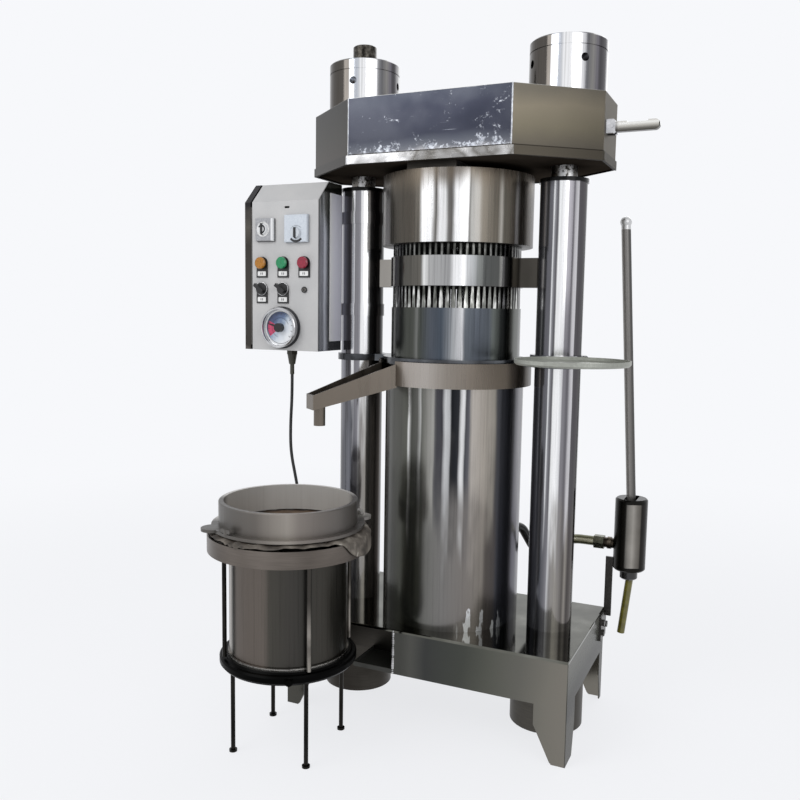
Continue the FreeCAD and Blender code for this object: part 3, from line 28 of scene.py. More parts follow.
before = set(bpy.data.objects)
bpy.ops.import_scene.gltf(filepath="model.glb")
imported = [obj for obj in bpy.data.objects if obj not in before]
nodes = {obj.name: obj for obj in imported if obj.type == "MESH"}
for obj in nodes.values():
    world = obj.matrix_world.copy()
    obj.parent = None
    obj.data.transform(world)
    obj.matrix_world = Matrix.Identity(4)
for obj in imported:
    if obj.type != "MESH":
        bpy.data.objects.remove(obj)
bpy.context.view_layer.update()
MM = 0.001
SHIFT = Vector((18.75, 161.5, 0.0))

# Sizes and places that the looks below take from the part
COLUMN_X = 260.0
BASE_FRONT = -204.6
SEAM_X = -64.5
BEAM_FRONT = -208.2
PUMP = (416.0, 185.0)
DRUM = (-254.0, -366.0)
COIL = (-529.0, 72.0)
BOX_FRONT = -161.0
BOX_BOTTOM = 895.0
FILM_FRONT = -104.0
PLATE_FACE = BOX_FRONT - 2.45
METER_FACE = BOX_FRONT - 9.95
LOCK_FRONT = BOX_FRONT - 3.0
GAUGE = (-402.5, 952.0)
LEFT_METER = (-453.0, 1195.0)
RIGHT_METER = (-357.0, 1184.0)
LOCK = (-338.0, 1046.0)
BUTTON_XS = (-461.0, -399.0, -338.3)
BUTTON_Z = 1112.0
SELECTOR_Z = 1048.0


def at(x, y, z):
    return (Vector((x, y, z)) + SHIFT) * MM


# Camera
CAMERA_AT = (747.5, -1964.2, 1001.0)
CAMERA_TURN = math.radians(24.52)
CAMERA_DIP = math.radians(6.12)
CAMERA_ROLL = math.radians(0.883)


def make_camera():
    data = bpy.data.cameras.new("view")
    data.sensor_width = 36.0
    data.lens = 37.90
    data.clip_end = 60.0
    camera = bpy.data.objects.new("view", data)
    level = math.cos(CAMERA_DIP)
    look = Vector((-math.sin(CAMERA_TURN) * level, math.cos(CAMERA_TURN) * level, -math.sin(CAMERA_DIP)))
    right = look.cross(Vector((0, 0, 1))).normalized()
    up = right.cross(look)
    c = math.cos(CAMERA_ROLL)
    s = math.sin(CAMERA_ROLL)
    turned = Matrix((c * right + s * up, -s * right + c * up, -look)).transposed().to_4x4()
    camera.matrix_world = Matrix.Translation(at(*CAMERA_AT)) @ turned
    bpy.context.scene.collection.objects.link(camera)
    bpy.context.scene.camera = camera


make_camera()


# Materials
class Field:
    """A node's output that can be reckoned with: each sum adds a math node to its tree."""

    def __init__(self, socket):
        self.socket = socket
        self.tree = socket.id_data

    def __add__(self, other):
        return reckon("ADD", self, other)

    def __radd__(self, other):
        return reckon("ADD", other, self)

    def __sub__(self, other):
        return reckon("SUBTRACT", self, other)

    def __rsub__(self, other):
        return reckon("SUBTRACT", other, self)

    def __mul__(self, other):
        return reckon("MULTIPLY", self, other)

    def __truediv__(self, other):
        return reckon("DIVIDE", self, other)

    def __pow__(self, other):
        return reckon("POWER", self, other)

    def __lt__(self, other):
        return reckon("LESS_THAN", self, other)

    def __gt__(self, other):
        return reckon("GREATER_THAN", self, other)

    def __abs__(self):
        return reckon("ABSOLUTE", self)


def add(tree, kind, inputs=None, **settings):
    """Adds a node with its settings. An input that is a field or a socket is linked, any other is set."""
    node = tree.nodes.new(kind)
    for key, value in settings.items():
        setattr(node, key, value)
    for key, value in (inputs or {}).items():
        value = getattr(value, "socket", value)
        if isinstance(value, bpy.types.NodeSocket):
            tree.links.new(value, node.inputs[key])
        else:
            node.inputs[key].default_value = value
    return node


def field(tree, kind, inputs=None, out=0, **settings):
    return Field(add(tree, kind, inputs, **settings).outputs[out])


def tree_of(values):
    return next(value.tree for value in values if isinstance(value, Field))


def reckon(operation, *values):
    return field(tree_of(values), "ShaderNodeMath", dict(enumerate(values)), operation=operation)


def linear(code):
    """sRGB hex value to linear colour."""
    out = []
    for i in (1, 3, 5):
        c = int(code[i:i + 2], 16) / 255
        out.append(c / 12.92 if c <= 0.04045 else ((c + 0.055) / 1.055) ** 2.4)
    return (*out, 1.0)


def cleared_tree(owner):
    """Node tree of a material or world, with nothing in it."""
    owner.use_nodes = True
    owner.node_tree.nodes.clear()
    return owner.node_tree


def start(name):
    """A new material, and the point of its surface in press millimetres, as three fields and as a vector."""
    material = bpy.data.materials.new(name)
    tree = cleared_tree(material)
    coords = field(tree, "ShaderNodeTexCoord", out="Object")
    to_press = {"Vector": coords, "Scale": (1 / MM,) * 3, "Location": tuple(-SHIFT)}
    point = field(tree, "ShaderNodeMapping", to_press)
    parts = add(tree, "ShaderNodeSeparateXYZ", {0: point}).outputs
    return material, [Field(part) for part in parts], point


def close(material, colour, **inputs):
    """Gives a material its principled surface with the given colour and inputs."""
    tree = material.node_tree
    names = {key.replace("_", " "): value for key, value in inputs.items()}
    shader = add(tree, "ShaderNodeBsdfPrincipled", {"Base Color": colour, **names})
    add(tree, "ShaderNodeOutputMaterial", {"Surface": shader.outputs[0]})
    return material


def vector(first, second, third=0.0):
    return field(first.tree, "ShaderNodeCombineXYZ", {0: first, 1: second, 2: third})


def stretch(point, scale, turn=(0, 0, 0)):
    return field(point.tree, "ShaderNodeMapping", {"Vector": point, "Scale": scale, "Rotation": turn})


def bearing(flat):
    """How far round its third axis a vector points, 0 to 1."""
    return field(flat.tree, "ShaderNodeTexGradient", {0: flat}, 1, gradient_type="RADIAL")


def mottle(point, scale, detail, **more):
    """Noise about 0.5, with spots of about 1 / scale."""
    inputs = {"Vector": point, "Scale": scale, "Detail": detail, **more}
    return field(point.tree, "ShaderNodeTexNoise", inputs)


def relief(height, strength, distance):
    inputs = {"Height": height, "Strength": strength, "Distance": distance}
    return field(height.tree, "ShaderNodeBump", inputs)


def span(value, low, high):
    """0 below low, 1 above high, smooth between."""
    inputs = {"Value": value, "From Min": low, "From Max": high}
    return field(value.tree, "ShaderNodeMapRange", inputs, interpolation_type="SMOOTHSTEP")


def spread(value, low, high, first=0.0, last=1.0):
    """low where value is first and high where it is last."""
    inputs = {"Value": value, "From Min": first, "From Max": last, "To Min": low, "To Max": high}
    return field(value.tree, "ShaderNodeMapRange", inputs)


def ramp(factor, stops):
    """Colours or grey levels, each at its place."""
    node = add(factor.tree, "ShaderNodeValToRGB", {"Fac": factor})
    elements = node.color_ramp.elements
    while len(elements) > 1:
        elements.remove(elements[-1])
    for i, (place, colour) in enumerate(stops):
        element = elements[0] if i == 0 else elements.new(place)
        element.position = place
        element.color = linear(colour) if isinstance(colour, str) else (colour, colour, colour, 1.0)
    return Field(node.outputs[0])


def blend(factor, first, second, mode="MIX"):
    """first where factor is 0 and second where it is 1, each a field or a hex value."""
    values = [linear(value) if isinstance(value, str) else value for value in (factor, first, second)]
    return field(tree_of(values), "ShaderNodeMix", dict(zip((0, 6, 7), values)), 2, data_type="RGBA",
                 blend_type=mode)


def band_stops(bands, back):
    """Painted reflection bands across the face of a tube, from -1 at its left edge to 1 at its right, as
    places round it.
    """
    stops = [(0.2, back), (0.245, bands[0][1])]
    for across, colour in bands:
        stops.append((0.5 + math.asin(across) / (2 * math.pi), colour))
    return stops + [(0.755, bands[-1][1]), (0.8, back)]


def around(x, y, centre=(0.0, 0.0), paired=False, facing=20.5):
    """How far round an upright axis, 0.5 at facing degrees right of the front, and the offsets."""
    if paired:
        side = reckon("SIGN", x)
        dx = x - side * COLUMN_X
    else:
        dx = x - centre[0]
    dy = y - centre[1]
    turn = bearing(stretch(vector(dx, dy), (1, 1, 1), (0, 0, math.radians(90 - facing))))
    if paired:
        # The right column faces 13 degrees less to the right than the left one
        turn = turn + side * 0.0183
    return turn, dx, dy


# Mirror-polished stainless tube: bright metal whose polishing runs upright. Its long pale and dark bands
# with hard edges and slightly wavering borders are painted reflections and highlights, with finer polishing
# streaks inside them.
def polished_tube(name, bands, centre=(0.0, 0.0), radius=170.0, back="#9d9993", paired=False, low=None,
                  fade=None, roughness=0.13, streak=0.22, dark_above=None, dark_below=None, edge_shade=None,
                  floor_reflection_top=None, facing=20.5, left=None, metallic=1.0, bright_below=None):
    skin, (x, y, z), _ = start(name)
    turn = around(x, y, centre, paired, facing)[0]
    level = mottle(vector(turn * 26.0, 0.0, z * 0.006), 1.0, 2.0) - 0.5
    swayed = turn + level * 0.007
    # Painted reflections and highlights: pale and dark bands round the tube
    colour = ramp(swayed, band_stops(bands, back))
    # The left column gets painted reflection bands of its own
    if left:
        on_left = x < 0.0
        colour = blend(on_left, colour, ramp(swayed, band_stops(left, back)))
    # Painted reflection bands of their own low down, below a wavering border
    if low:
        edge = z + level * 420.0
        if left:
            edge = edge - on_left * 240.0
        colour = blend(span(edge, *fade), ramp(swayed, band_stops(low, back)), colour)
    # Streaks every 5 mm round the tube, about 300 mm long
    fine = mottle(vector(turn * (2 * math.pi * radius / 5.0), 0.0, z * (1 / 300.0)), 1.0, 3.0, Roughness=0.6)
    tone = ramp(fine, ((0.3, 1 - streak * 1.6), (0.5, 1.0 - streak * 0.4), (0.72, 1.0)))
    colour = blend(1.0, colour, tone, "MULTIPLY")
    if edge_shade:
        # Painted shade, soft and brown, under the edge above, uneven along its border
        colour = blend(span(z + level * 70.0, edge_shade[0], edge_shade[1]) * 0.85, colour, edge_shade[2])
    if floor_reflection_top:
        # Painted reflection: bright upright patches near the foot, where the polish throws back the lit
        # floor
        flakes = mottle(vector(turn * 60.0, 0.0, z * 0.014), 1.0, 4.0)
        near_foot = (1.0 - span(z, 240.0, floor_reflection_top)) * 0.22
        on_right = span(turn, 0.51, 0.53) * (1.0 - span(turn, 0.62, 0.64))
        marks = span(flakes + near_foot, 0.7, 0.72) * on_right * 0.75
        colour = blend(marks, colour, "#e9ebee")
    # Painted shade, near black, high on the columns just under the beam
    if dark_above:
        colour = blend(span(z, dark_above - 0.4, dark_above + 0.4), colour, "#161616")
    if bright_below:
        colour = blend(span(z, bright_below - 0.3, bright_below + 0.3), "#d9d6d0", colour)
    # Painted shade, near black, under the head cover and at the foot of the cage band
    if dark_below:
        colour = blend(span(z, dark_below - 0.3, dark_below + 0.3), "#1a1816", colour)
    return close(skin, colour, Metallic=metallic, Normal=relief(fine, 0.03, 0.0004),
                 Roughness=spread(fine, roughness * 0.8, roughness * 1.35, 0.3, 0.7))


# Painted reflections and highlights: pale and dark bands across the face of each tube, from -1 at its left
# edge to 1 at its right. The _LOW tables hold the painted bands low down, LEFT_BANDS those of the left
# column.
COLUMN_BANDS = (
    (-1.0, "#3d3d40"), (-0.95, "#6b6b70"), (-0.78, "#77777c"), (-0.74, "#c4c3c6"), (-0.69, "#5f5f63"),
    (-0.5, "#66666b"), (-0.4, "#6b6b70"), (-0.37, "#f2f2f3"), (-0.31, "#8a8a8e"), (-0.2, "#58575b"),
    (-0.15, "#f4f4f4"), (0.05, "#ffffff"), (0.2, "#dcdcde"), (0.24, "#8b898e"), (0.46, "#6a686d"),
    (0.53, "#c4c2c5"), (0.63, "#d8d6d9"), (0.67, "#5a585b"), (0.86, "#4b484b"), (0.92, "#2e2c2e"),
    (1.0, "#1d1c1d"),
)
LEFT_BANDS = (
    (-1.0, "#77777d"), (-0.85, "#8d8d94"), (-0.72, "#5a595c"), (-0.62, "#3d3b3d"), (-0.53, "#57555a"),
    (-0.5, "#f2f2f3"), (-0.39, "#e4e4e6"), (-0.36, "#7d7c80"), (-0.12, "#939297"), (-0.08, "#f7f7f7"),
    (0.12, "#ffffff"), (0.3, "#e8e8ea"), (0.35, "#4a494b"), (0.5, "#2c2a2b"), (0.72, "#3b393a"),
    (0.86, "#201f20"), (1.0, "#161516"),
)
COLUMN_LOW = (
    (-1.0, "#3a3a3c"), (-0.9, "#5a5a5e"), (-0.6, "#74757b"), (-0.45, "#505157"), (-0.2, "#86858a"),
    (-0.16, "#c6c6c8"), (-0.06, "#8f8c8a"), (0.2, "#99958f"), (0.4, "#7e7a77"), (0.5, "#5c5855"),
    (0.6, "#938e88"), (0.72, "#4a4645"), (0.86, "#5f5a57"), (1.0, "#2a2826"),
)
HEAD_BANDS = (
    (-1.0, "#6b6761"), (-0.88, "#9a9793"), (-0.85, "#504c45"), (-0.55, "#524d46"), (-0.46, "#69655e"),
    (-0.435, "#fbfbfb"), (-0.3, "#ececec"), (-0.285, "#57544f"), (-0.25, "#6b6864"), (-0.235, "#f2f2f2"),
    (-0.14, "#e2e2e1"), (-0.12, "#7d7b78"), (-0.06, "#55524f"), (-0.035, "#ffffff"), (0.12, "#fafafa"),
    (0.14, "#575553"), (0.17, "#93928f"), (0.26, "#9c9994"), (0.3, "#736d64"), (0.5, "#696359"),
    (0.54, "#b7b3ab"), (0.57, "#615d54"), (0.71, "#575148"), (0.745, "#c2c0bc"), (0.78, "#514b44"),
    (0.93, "#5f5a54"), (1.0, "#3e3c38"),
)
BAND_BANDS = (
    (-1.0, "#8f8b83"), (-0.93, "#6f6c66"), (-0.9, "#4a4844"), (-0.7, "#5c5a55"), (-0.5, "#6d6a64"),
    (-0.47, "#f0f0ee"), (-0.38, "#b4b4b3"), (-0.1, "#a4a4a4"), (-0.04, "#fdfdfd"), (0.1, "#f4f4f4"),
    (0.13, "#9a9b9d"), (0.26, "#7b7d7e"), (0.31, "#5e605f"), (0.6, "#585957"), (0.66, "#c9c8c3"),
    (0.7, "#55544f"), (0.84, "#8f8d88"), (0.9, "#4a4742"), (1.0, "#514d48"),
)
GUARD_BANDS = (
    (-1.0, "#464844"), (-0.62, "#4d4f4a"), (-0.56, "#7a7b78"), (-0.53, "#4a4d48"), (-0.35, "#555a62"),
    (-0.2, "#4b535d"), (-0.08, "#868a8f"), (-0.02, "#b0b2b4"), (0.1, "#c8c8ca"), (0.13, "#5c6167"),
    (0.32, "#545961"), (0.5, "#5d6268"), (0.55, "#707572"), (0.6, "#505451"), (0.84, "#474945"),
    (0.88, "#6f716d"), (1.0, "#42443d"),
)
SHROUD_BANDS = (
    (-1.0, "#4b4b48"), (-0.72, "#575752"), (-0.63, "#5d5e57"), (-0.615, "#ececea"), (-0.585, "#4f504b"),
    (-0.475, "#5f5f5b"), (-0.46, "#e8e8e6"), (-0.44, "#5b5c56"), (-0.34, "#8f8e89"), (-0.26, "#a5a49f"),
    (-0.24, "#4a4a4e"), (-0.14, "#3c3c42"), (-0.11, "#d2d3d4"), (-0.045, "#b9babb"), (-0.03, "#15181c"),
    (0.085, "#2b2d31"), (0.11, "#f4f4f4"), (0.15, "#d8d8d8"), (0.165, "#45464a"), (0.22, "#606065"),
    (0.25, "#b3ada6"), (0.42, "#a69f96"), (0.57, "#938e85"), (0.6, "#45464a"), (0.85, "#494a50"),
    (0.93, "#8b898d"), (0.96, "#55545a"), (1.0, "#4a494c"),
)
SHROUD_LOW = (
    (-1.0, "#33332f"), (-0.82, "#3a3a36"), (-0.7, "#4a4b44"), (-0.44, "#4d4f48"), (-0.4, "#6e6e6a"),
    (-0.1, "#7a7876"), (0.2, "#7c7773"), (0.44, "#817b74"), (0.48, "#55504c"), (0.6, "#4b4746"),
    (0.64, "#3f4046"), (0.8, "#4a4b52"), (0.86, "#55535e"), (1.0, "#46444e"),
)
NUT_BANDS = (
    (-1.0, "#4a4642"), (-0.7, "#57534e"), (-0.44, "#5f5b57"), (-0.4, "#c9ccd2"), (-0.2, "#c3c7ce"),
    (-0.12, "#fbfbfb"), (0.26, "#f4f4f4"), (0.3, "#c6c6c8"), (0.4, "#8a8a8c"), (0.46, "#6d6d70"),
    (0.6, "#8d8b88"), (0.72, "#77747a"), (0.78, "#4f4d50"), (1.0, "#3b3a3b"),
)
DRUM_BANDS = (
    (-1.0, "#333230"), (-0.955, "#a29d96"), (-0.92, "#4b4944"), (-0.84, "#635c56"), (-0.4, "#68615b"),
    (-0.3, "#4b4944"), (0.05, "#43413e"), (0.3, "#3a3936"), (0.42, "#42403c"), (0.9, "#3d3b36"),
    (0.96, "#5b5851"), (0.985, "#a5a199"), (1.0, "#33322f"),
)
TRAY_BANDS = (
    (-1.0, "#5a534b"), (-0.8, "#6e665d"), (-0.66, "#7d756c"), (-0.62, "#a39c95"), (-0.35, "#a8a29c"),
    (-0.1, "#8b847c"), (0.2, "#736b62"), (0.55, "#635b51"), (0.85, "#4f483f"), (1.0, "#302c27"),
)
RING_BANDS = (
    (-1.0, "#4c4945"), (-0.8, "#595652"), (-0.45, "#625d58"), (-0.2, "#837d76"), (-0.02, "#938d85"),
    (0.14, "#7b746e"), (0.4, "#6c6661"), (0.75, "#5c5854"), (1.0, "#46423f"),
)


column_steel = polished_tube("polished_column_tube", COLUMN_BANDS, radius=54.0, paired=True, low=COLUMN_LOW,
                             left=LEFT_BANDS, fade=(380.0, 640.0), dark_above=1296.0, streak=0.14,
                             metallic=0.85)
head_steel = polished_tube("polished_head_sheet", HEAD_BANDS, radius=183.5, dark_below=1155.0,
                           roughness=0.26, metallic=0.85, edge_shade=(1262.0, 1316.0, "#6b6256"))
band_steel = polished_tube("polished_band_steel", BAND_BANDS, radius=162.0, dark_below=1057.6)
guard_steel = polished_tube("polished_guard_sheet", GUARD_BANDS, radius=159.0, roughness=0.2)
shroud_steel = polished_tube("polished_shroud_sheet", SHROUD_BANDS, radius=170.6, low=SHROUD_LOW,
                             fade=(400.0, 700.0), floor_reflection_top=340.0, streak=0.12, metallic=0.85,
                             roughness=0.2)
nut_steel = polished_tube("polished_nut_steel", NUT_BANDS, radius=87.8, paired=True, roughness=0.12)
tank_steel = polished_tube("satin_tank_sheet", DRUM_BANDS, centre=DRUM, radius=134.0, roughness=0.3,
                           streak=0.12, facing=32.0, bright_below=229.5)
tray_steel = polished_tube("satin_tray_sheet", TRAY_BANDS, radius=189.0, back="#6f6a64", roughness=0.28,
                           streak=0.03, metallic=0.85)
# The ring's pale back is painted light on its inner wall, seen at the back of the ring
ring_steel = polished_tube("satin_ring_steel", RING_BANDS, centre=DRUM, radius=156.0, back="#c2bfba",
                           roughness=0.36, streak=0.05, facing=32.0, metallic=0.4)


# Satin stainless sheet: ground in one direction with 180 grit, so that it looks soft and warm grey with fine
# lines and cloudy finger marks.
def satin_steel(name, light, dark, grain, roughness=0.34, cloud=180.0, metallic=1.0, sheen=0.5):
    skin, _, point = start(name)
    # Grit lines of 0.2 mm would not show, so they are drawn 1.5 mm apart
    lines = mottle(stretch(point, grain), 1.0, 2.0)
    clouds = mottle(point, 1 / cloud, 3.0)
    colour = ramp(clouds, ((0.3, dark), (0.7, light)))
    colour = blend(1.0, colour, ramp(lines, ((0.25, 0.75), (0.75, 1.0))), "MULTIPLY")
    rough = spread(clouds, roughness * 0.7, roughness * 1.3)
    return close(skin, colour, Metallic=metallic, Specular_IOR_Level=sheen, Roughness=rough,
                 Normal=relief(lines, 0.08, 0.0004))


UPRIGHT_GRAIN = (0.66, 0.66, 0.006)
LEVEL_GRAIN = (0.02, 0.02, 0.66)
EVEN_GRAIN = (0.4, 0.4, 0.4)
dish_steel = satin_steel("satin_dish_sheet", "#b1b3ab", "#9a9c94", (0.05, 0.66, 0.1), 0.45, metallic=0.6)
plate_steel = satin_steel("satin_barrel_plate", "#6d7074", "#2c2c2e", LEVEL_GRAIN, 0.22, 60.0)
gutter_steel = satin_steel("satin_gutter_sheet", "#7d756e", "#5d5650", LEVEL_GRAIN, 0.36, metallic=0.8)
under_steel = satin_steel("oiled_cast_beam", "#3a342e", "#29241f", LEVEL_GRAIN, 0.5, metallic=0.0, sheen=0.0)
cast_steel = satin_steel("machined_cast_steel", "#55524d", "#36332f", LEVEL_GRAIN, 0.42)
rod_steel = satin_steel("satin_guide_rods", "#8f8a83", "#5c5853", UPRIGHT_GRAIN, 0.25)
bright_steel = satin_steel("bright_turned_steel", "#e3e3e4", "#a9a9ac", EVEN_GRAIN, 0.14, 30.0)
weld_steel = satin_steel("brushed_weld_beads", "#e4e4e4", "#a9a9aa", EVEN_GRAIN, 0.3, 12.0)


# Press cage: turned thick steel, pale on its ribs, with near black painted shade between and beside them.
def cage_steel():
    skin, (x, y, z), _ = start("turned_cage_steel")
    turn, dx, dy = around(x, y, facing=90.0)
    outside = span((dx * dx + dy * dy) ** 0.5, 152.0, 155.5)
    # 68 slots, so the place between two of them repeats 68 times round
    slots = turn * 68.0
    wave = mottle(vector(slots, 0.0, z * 0.03), 1.0, 2.0)
    ribs = ramp(wave, ((0.3, "#4f504c"), (0.5, "#8d8e89"), (0.66, "#e6e6e2")))
    off = abs(reckon("FRACT", slots + 0.5) - 0.5)
    # Painted shade darkens the ribs 1 to 3 mm beside each slot, more under the band and the head
    width = 0.15 + span(z, 1012.0, 1056.0) * 0.15
    rib_face = field(off.tree, "ShaderNodeClamp", {0: (off - width) / 0.06})
    shade = 1.0 - span(z, 1044.0, 1057.0) * 0.6
    # Painted shade, near black, on the inner faces, beside the slots and under the band and the head
    colour = blend(outside * (rib_face * shade), "#0d0d0c", ribs)
    return close(skin, colour, Metallic=1.0, Roughness=0.24)


# Bent and polished panel sheet of the base: a dull mirror with painted reflections and shade in wide soft
# bands, darker in the middle of the front and on the sides, and with painted shade on the dark drip shelf
# seen through the bay.
def base_sheet():
    skin, (x, _, z), point = start("polished_base_sheet")
    soft = mottle(point, 1 / 260.0, 1.5)
    # Painted reflections across the front, darker in its middle
    front = ramp(x / 716.0 + soft * 0.12 + 0.44, (
        (0.0, "#4d4c47"), (0.38, "#474844"), (0.47, "#555551"), (0.53, "#3f403f"), (0.66, "#484a45"),
        (0.76, "#5a5b54"), (0.86, "#676660"), (0.95, "#79766e"), (1.0, "#7d7971")))
    # Painted shade on the sides, in bands up their height
    side = ramp((z + soft * 50.0) / 300.0, (
        (0.0, "#403e3a"), (0.42, "#484742"), (0.5, "#373735"), (0.62, "#32322e"), (0.7, "#464742"),
        (0.82, "#5b5b55"), (1.0, "#686660")))
    on_side = span(abs(x), 355.2, 357.4)
    in_bay = span(x, -178.0, -176.0) * (1.0 - span(x, SEAM_X - 0.2, SEAM_X))
    # Painted shade, dark grey, on the drip shelf in the bay
    colour = blend(in_bay, blend(on_side, front, side), "#454542")
    # The sides and the shelf are dull, so that they keep their painted dark shade at a flat angle
    metal = 1.0 - reckon("MAXIMUM", in_bay * 0.8, on_side * 0.93)
    return close(skin, colour, Metallic=metal, Roughness=spread(soft, 0.17, 0.3),
                 Specular_IOR_Level=metal * 0.5, Normal=relief(soft, 0.2, 0.004))


# Mirror sheet on top of the base: clean enough to show the columns and the shroud standing in it.
def top_sheet():
    skin, _, point = start("mirror_top_sheet")
    smear = mottle(point, 1 / 90.0, 4.0)
    colour = ramp(smear, ((0.3, "#55554f"), (0.55, "#66665f"), (0.75, "#7d7d76")))
    return close(skin, colour, Metallic=1.0, Roughness=spread(smear, 0.03, 0.12))


# Folded beam cover: polished sheet. Its long front face is bluish, with a painted highlight along its lower
# edge, under patches of torn protective film and scratches, and its angled faces are plain warm grey, with
# painted shade underneath and in the fold above the lip.
def beam_sheet():
    skin, (x, y, z), point = start("filmed_beam_sheet")
    soft = mottle(point, 1 / 150.0, 3.0)
    uneven = (z - 1351.0) / 128.0 + (soft - 0.5) * 0.5
    blue = ramp(soft, ((0.3, "#1d1f27"), (0.44, "#292b35"), (0.55, "#373943"), (0.68, "#4e5058")))
    # Painted highlight just above the fold of the lip, fading upwards into the bluish face
    foot = ramp(uneven, ((0.02, "#a7a7a9"), (0.09, "#66686c"), (0.2, "#484b51"), (0.3, "#2a2c34"),
                         (0.75, "#252730"), (1.0, "#33363d")))
    # Film torn into flakes with crumbled edges, more of it low down and to the right, and fine scratches
    torn = mottle(stretch(point, (0.026, 0.02, 0.034)), 1.0, 9.0, Roughness=0.68, Distortion=0.4)
    crumbs = mottle(point, 0.11, 7.0, Roughness=0.75)
    more_low = (1.0 - span(uneven, 0.02, 0.35)) * 0.1
    more_right = span(x, 20.0, 190.0) * 0.035
    torn = torn + (crumbs - 0.5) * 0.5 + (more_low + more_right)
    flakes = ramp(torn, ((0.62, 0.0), (0.66, 0.3), (0.71, 0.75), (0.85, 0.95)))
    scratches = mottle(stretch(point, (0.012, 0.05, 0.4), (0, 0.12, 0)), 1.0, 3.0)
    flakes = reckon("MAXIMUM", flakes, ramp(scratches, ((0.71, 0.0), (0.75, 0.3))))
    # A thin bright weld line stands at each end of the front face
    marks = reckon("MAXIMUM", flakes, span(abs(x), 193.4, 194.6))
    marked = blend(marks, blend(0.55, blue, foot), ramp(crumbs, ((0.35, "#6f7482"), (0.6, "#cdd1d8"))))
    warm = ramp(uneven, ((0.0, "#4a463f"), (0.35, "#5c574b"), (0.7, "#655f53"), (1.0, "#555149")))
    left = ramp(uneven, ((0.0, "#3b352f"), (0.5, "#2c2922"), (1.0, "#1e1c17")))
    past_left = span(x, -200.0, -196.0)
    right_end = span(x, 360.4, 361.2)
    plain = blend(right_end, blend(past_left, left, warm), "#5c574e")
    on_front = y < -207.6
    colour = blend(on_front, plain, marked)
    lip_tone = ramp(soft, ((0.3, "#45433f"), (0.4, "#9a9a9b"), (0.5, "#5f5d5a"), (0.6, "#c2c2c3")))
    lip_plain = blend(past_left, "#2d2924", "#413d36")
    colour = blend(z < 1351.6, colour, blend(on_front, lip_plain, lip_tone))
    # Painted shade in the fold between the lip and the front face
    fold = span(abs(z - 1353.0), 0.7, 1.5)
    colour = blend(fold, "#26231f", colour)
    colour = blend(span(z, 1478.6, 1479.2), colour, "#8d8d8b")
    # Painted shade on the underside
    above_foot = span(z, 1331.6, 1332.4)
    colour = blend(above_foot, "#26221e", colour)
    on_face = flakes * on_front
    # The right end and the underside were left unpolished
    dull = reckon("MAXIMUM", right_end, 1.0 - above_foot)
    return close(skin, colour, Metallic=1.0 - dull * 0.8, Specular_IOR_Level=0.5 - dull * 0.4,
                 Roughness=spread(on_face, 0.22, 0.5) + dull * 0.35, Normal=relief(on_face, 0.2, 0.0006))


# Tie rods: turned thread between collar and beam with painted reflection bands, and a dark oiled end on top
# of the left nut
def rod_ends():
    skin, (x, y, z), _ = start("oiled_tie_rod_steel")
    turn = around(x, y, paired=True)[0]
    # Painted reflection bands round the thread
    bands = ramp(turn, band_stops((
        (-1.0, "#57544f"), (-0.5, "#8d8983"), (-0.3, "#f2f2f2"), (0.1, "#e9e9e8"), (0.2, "#8d8b88"),
        (0.5, "#f4f4f4"), (0.7, "#6a6763"), (1.0, "#45423f")), "#77746f"))
    chips = mottle(vector(turn * 20.0, 0.0, z * 0.1), 1.0, 4.0)
    worn = blend(span(chips, 0.52, 0.6), bands, "#3a3732")
    top = ramp(chips, ((0.35, "#1f1d1b"), (0.6, "#45423d"), (0.75, "#6d6963")))
    colour = blend(span(z, 1600.0, 1608.0), worn, top)
    return close(skin, colour, Metallic=1.0, Roughness=spread(chips, 0.18, 0.4))


# Drum rods and legs: satin steel on the front rods, with painted shade on their upper part, black with oil
# on the left one and on the legs
def drum_rod_steel():
    skin, (x, _, z), point = start("oiled_drum_rods")
    wear = mottle(point, 0.02, 3.0)
    pale = ramp(wear, ((0.3, "#5a5651"), (0.6, "#938e87")))
    black = ramp(wear, ((0.3, "#0c0c0b"), (0.7, "#24221f")))
    # Painted shade: the front rods turn dark above about 330 to 420 mm
    front = blend(span(z + wear * 60.0, 330.0, 420.0), pale, "#3f3c38")
    oiled = reckon("MAXIMUM", x < DRUM[0] - 40, z < 201.0)
    return close(skin, blend(oiled, front, black), Metallic=0.9, Roughness=0.3)


# Feed line: greenish plated pipe at the pump, with a painted highlight along it and painted shade above and
# below, and black oil hose behind the column
def feed_line():
    skin, (x, _, z), point = start("plated_pipe_and_hose")
    grime = mottle(point, 0.04, 3.0)
    # Painted highlight along the pipe's middle, with painted shade on its lower and upper sides
    pipe = ramp((z - 402.0) / 24.0, ((0.0, "#2e2f22"), (0.3, "#77775f"), (0.5, "#c9c9ae"), (0.62, "#e6e6d2"),
                                     (0.8, "#8d8d74"), (1.0, "#4a4b3a")))
    nut = ramp(grime, ((0.3, "#4f5045"), (0.7, "#8b8c7d")))
    fitting = ramp(grime, ((0.3, "#1f1c18"), (0.55, "#3b352e"), (0.75, "#857b6c")))
    past_hose = span(x, 244.0, 250.0)
    colour = blend(span(x, 324.0, 326.0), pipe, nut)
    colour = blend(span(x, 350.5, 352.5), colour, fitting)
    colour = blend(past_hose, "#0f0f0f", colour)
    return close(skin, colour, Metallic=past_hose, Roughness=spread(grime, 0.15, 0.4))


# Paint and plastic
def coated(name, light, dark, roughness, grain, coat=0.0, bump=0.1, metallic=0.0, sheen=0.5):
    skin, _, point = start(name)
    speck = mottle(point, grain, 3.0)
    wide = mottle(point, grain / 40, 2.0)
    colour = ramp(speck * 0.35 + wide * 0.65, ((0.35, dark), (0.65, light)))
    rough = spread(wide, roughness * 0.8, roughness * 1.2)
    return close(skin, colour, Metallic=metallic, Coat_Weight=coat, Specular_IOR_Level=sheen,
                 Roughness=rough, Normal=relief(speck, bump, 0.0003))


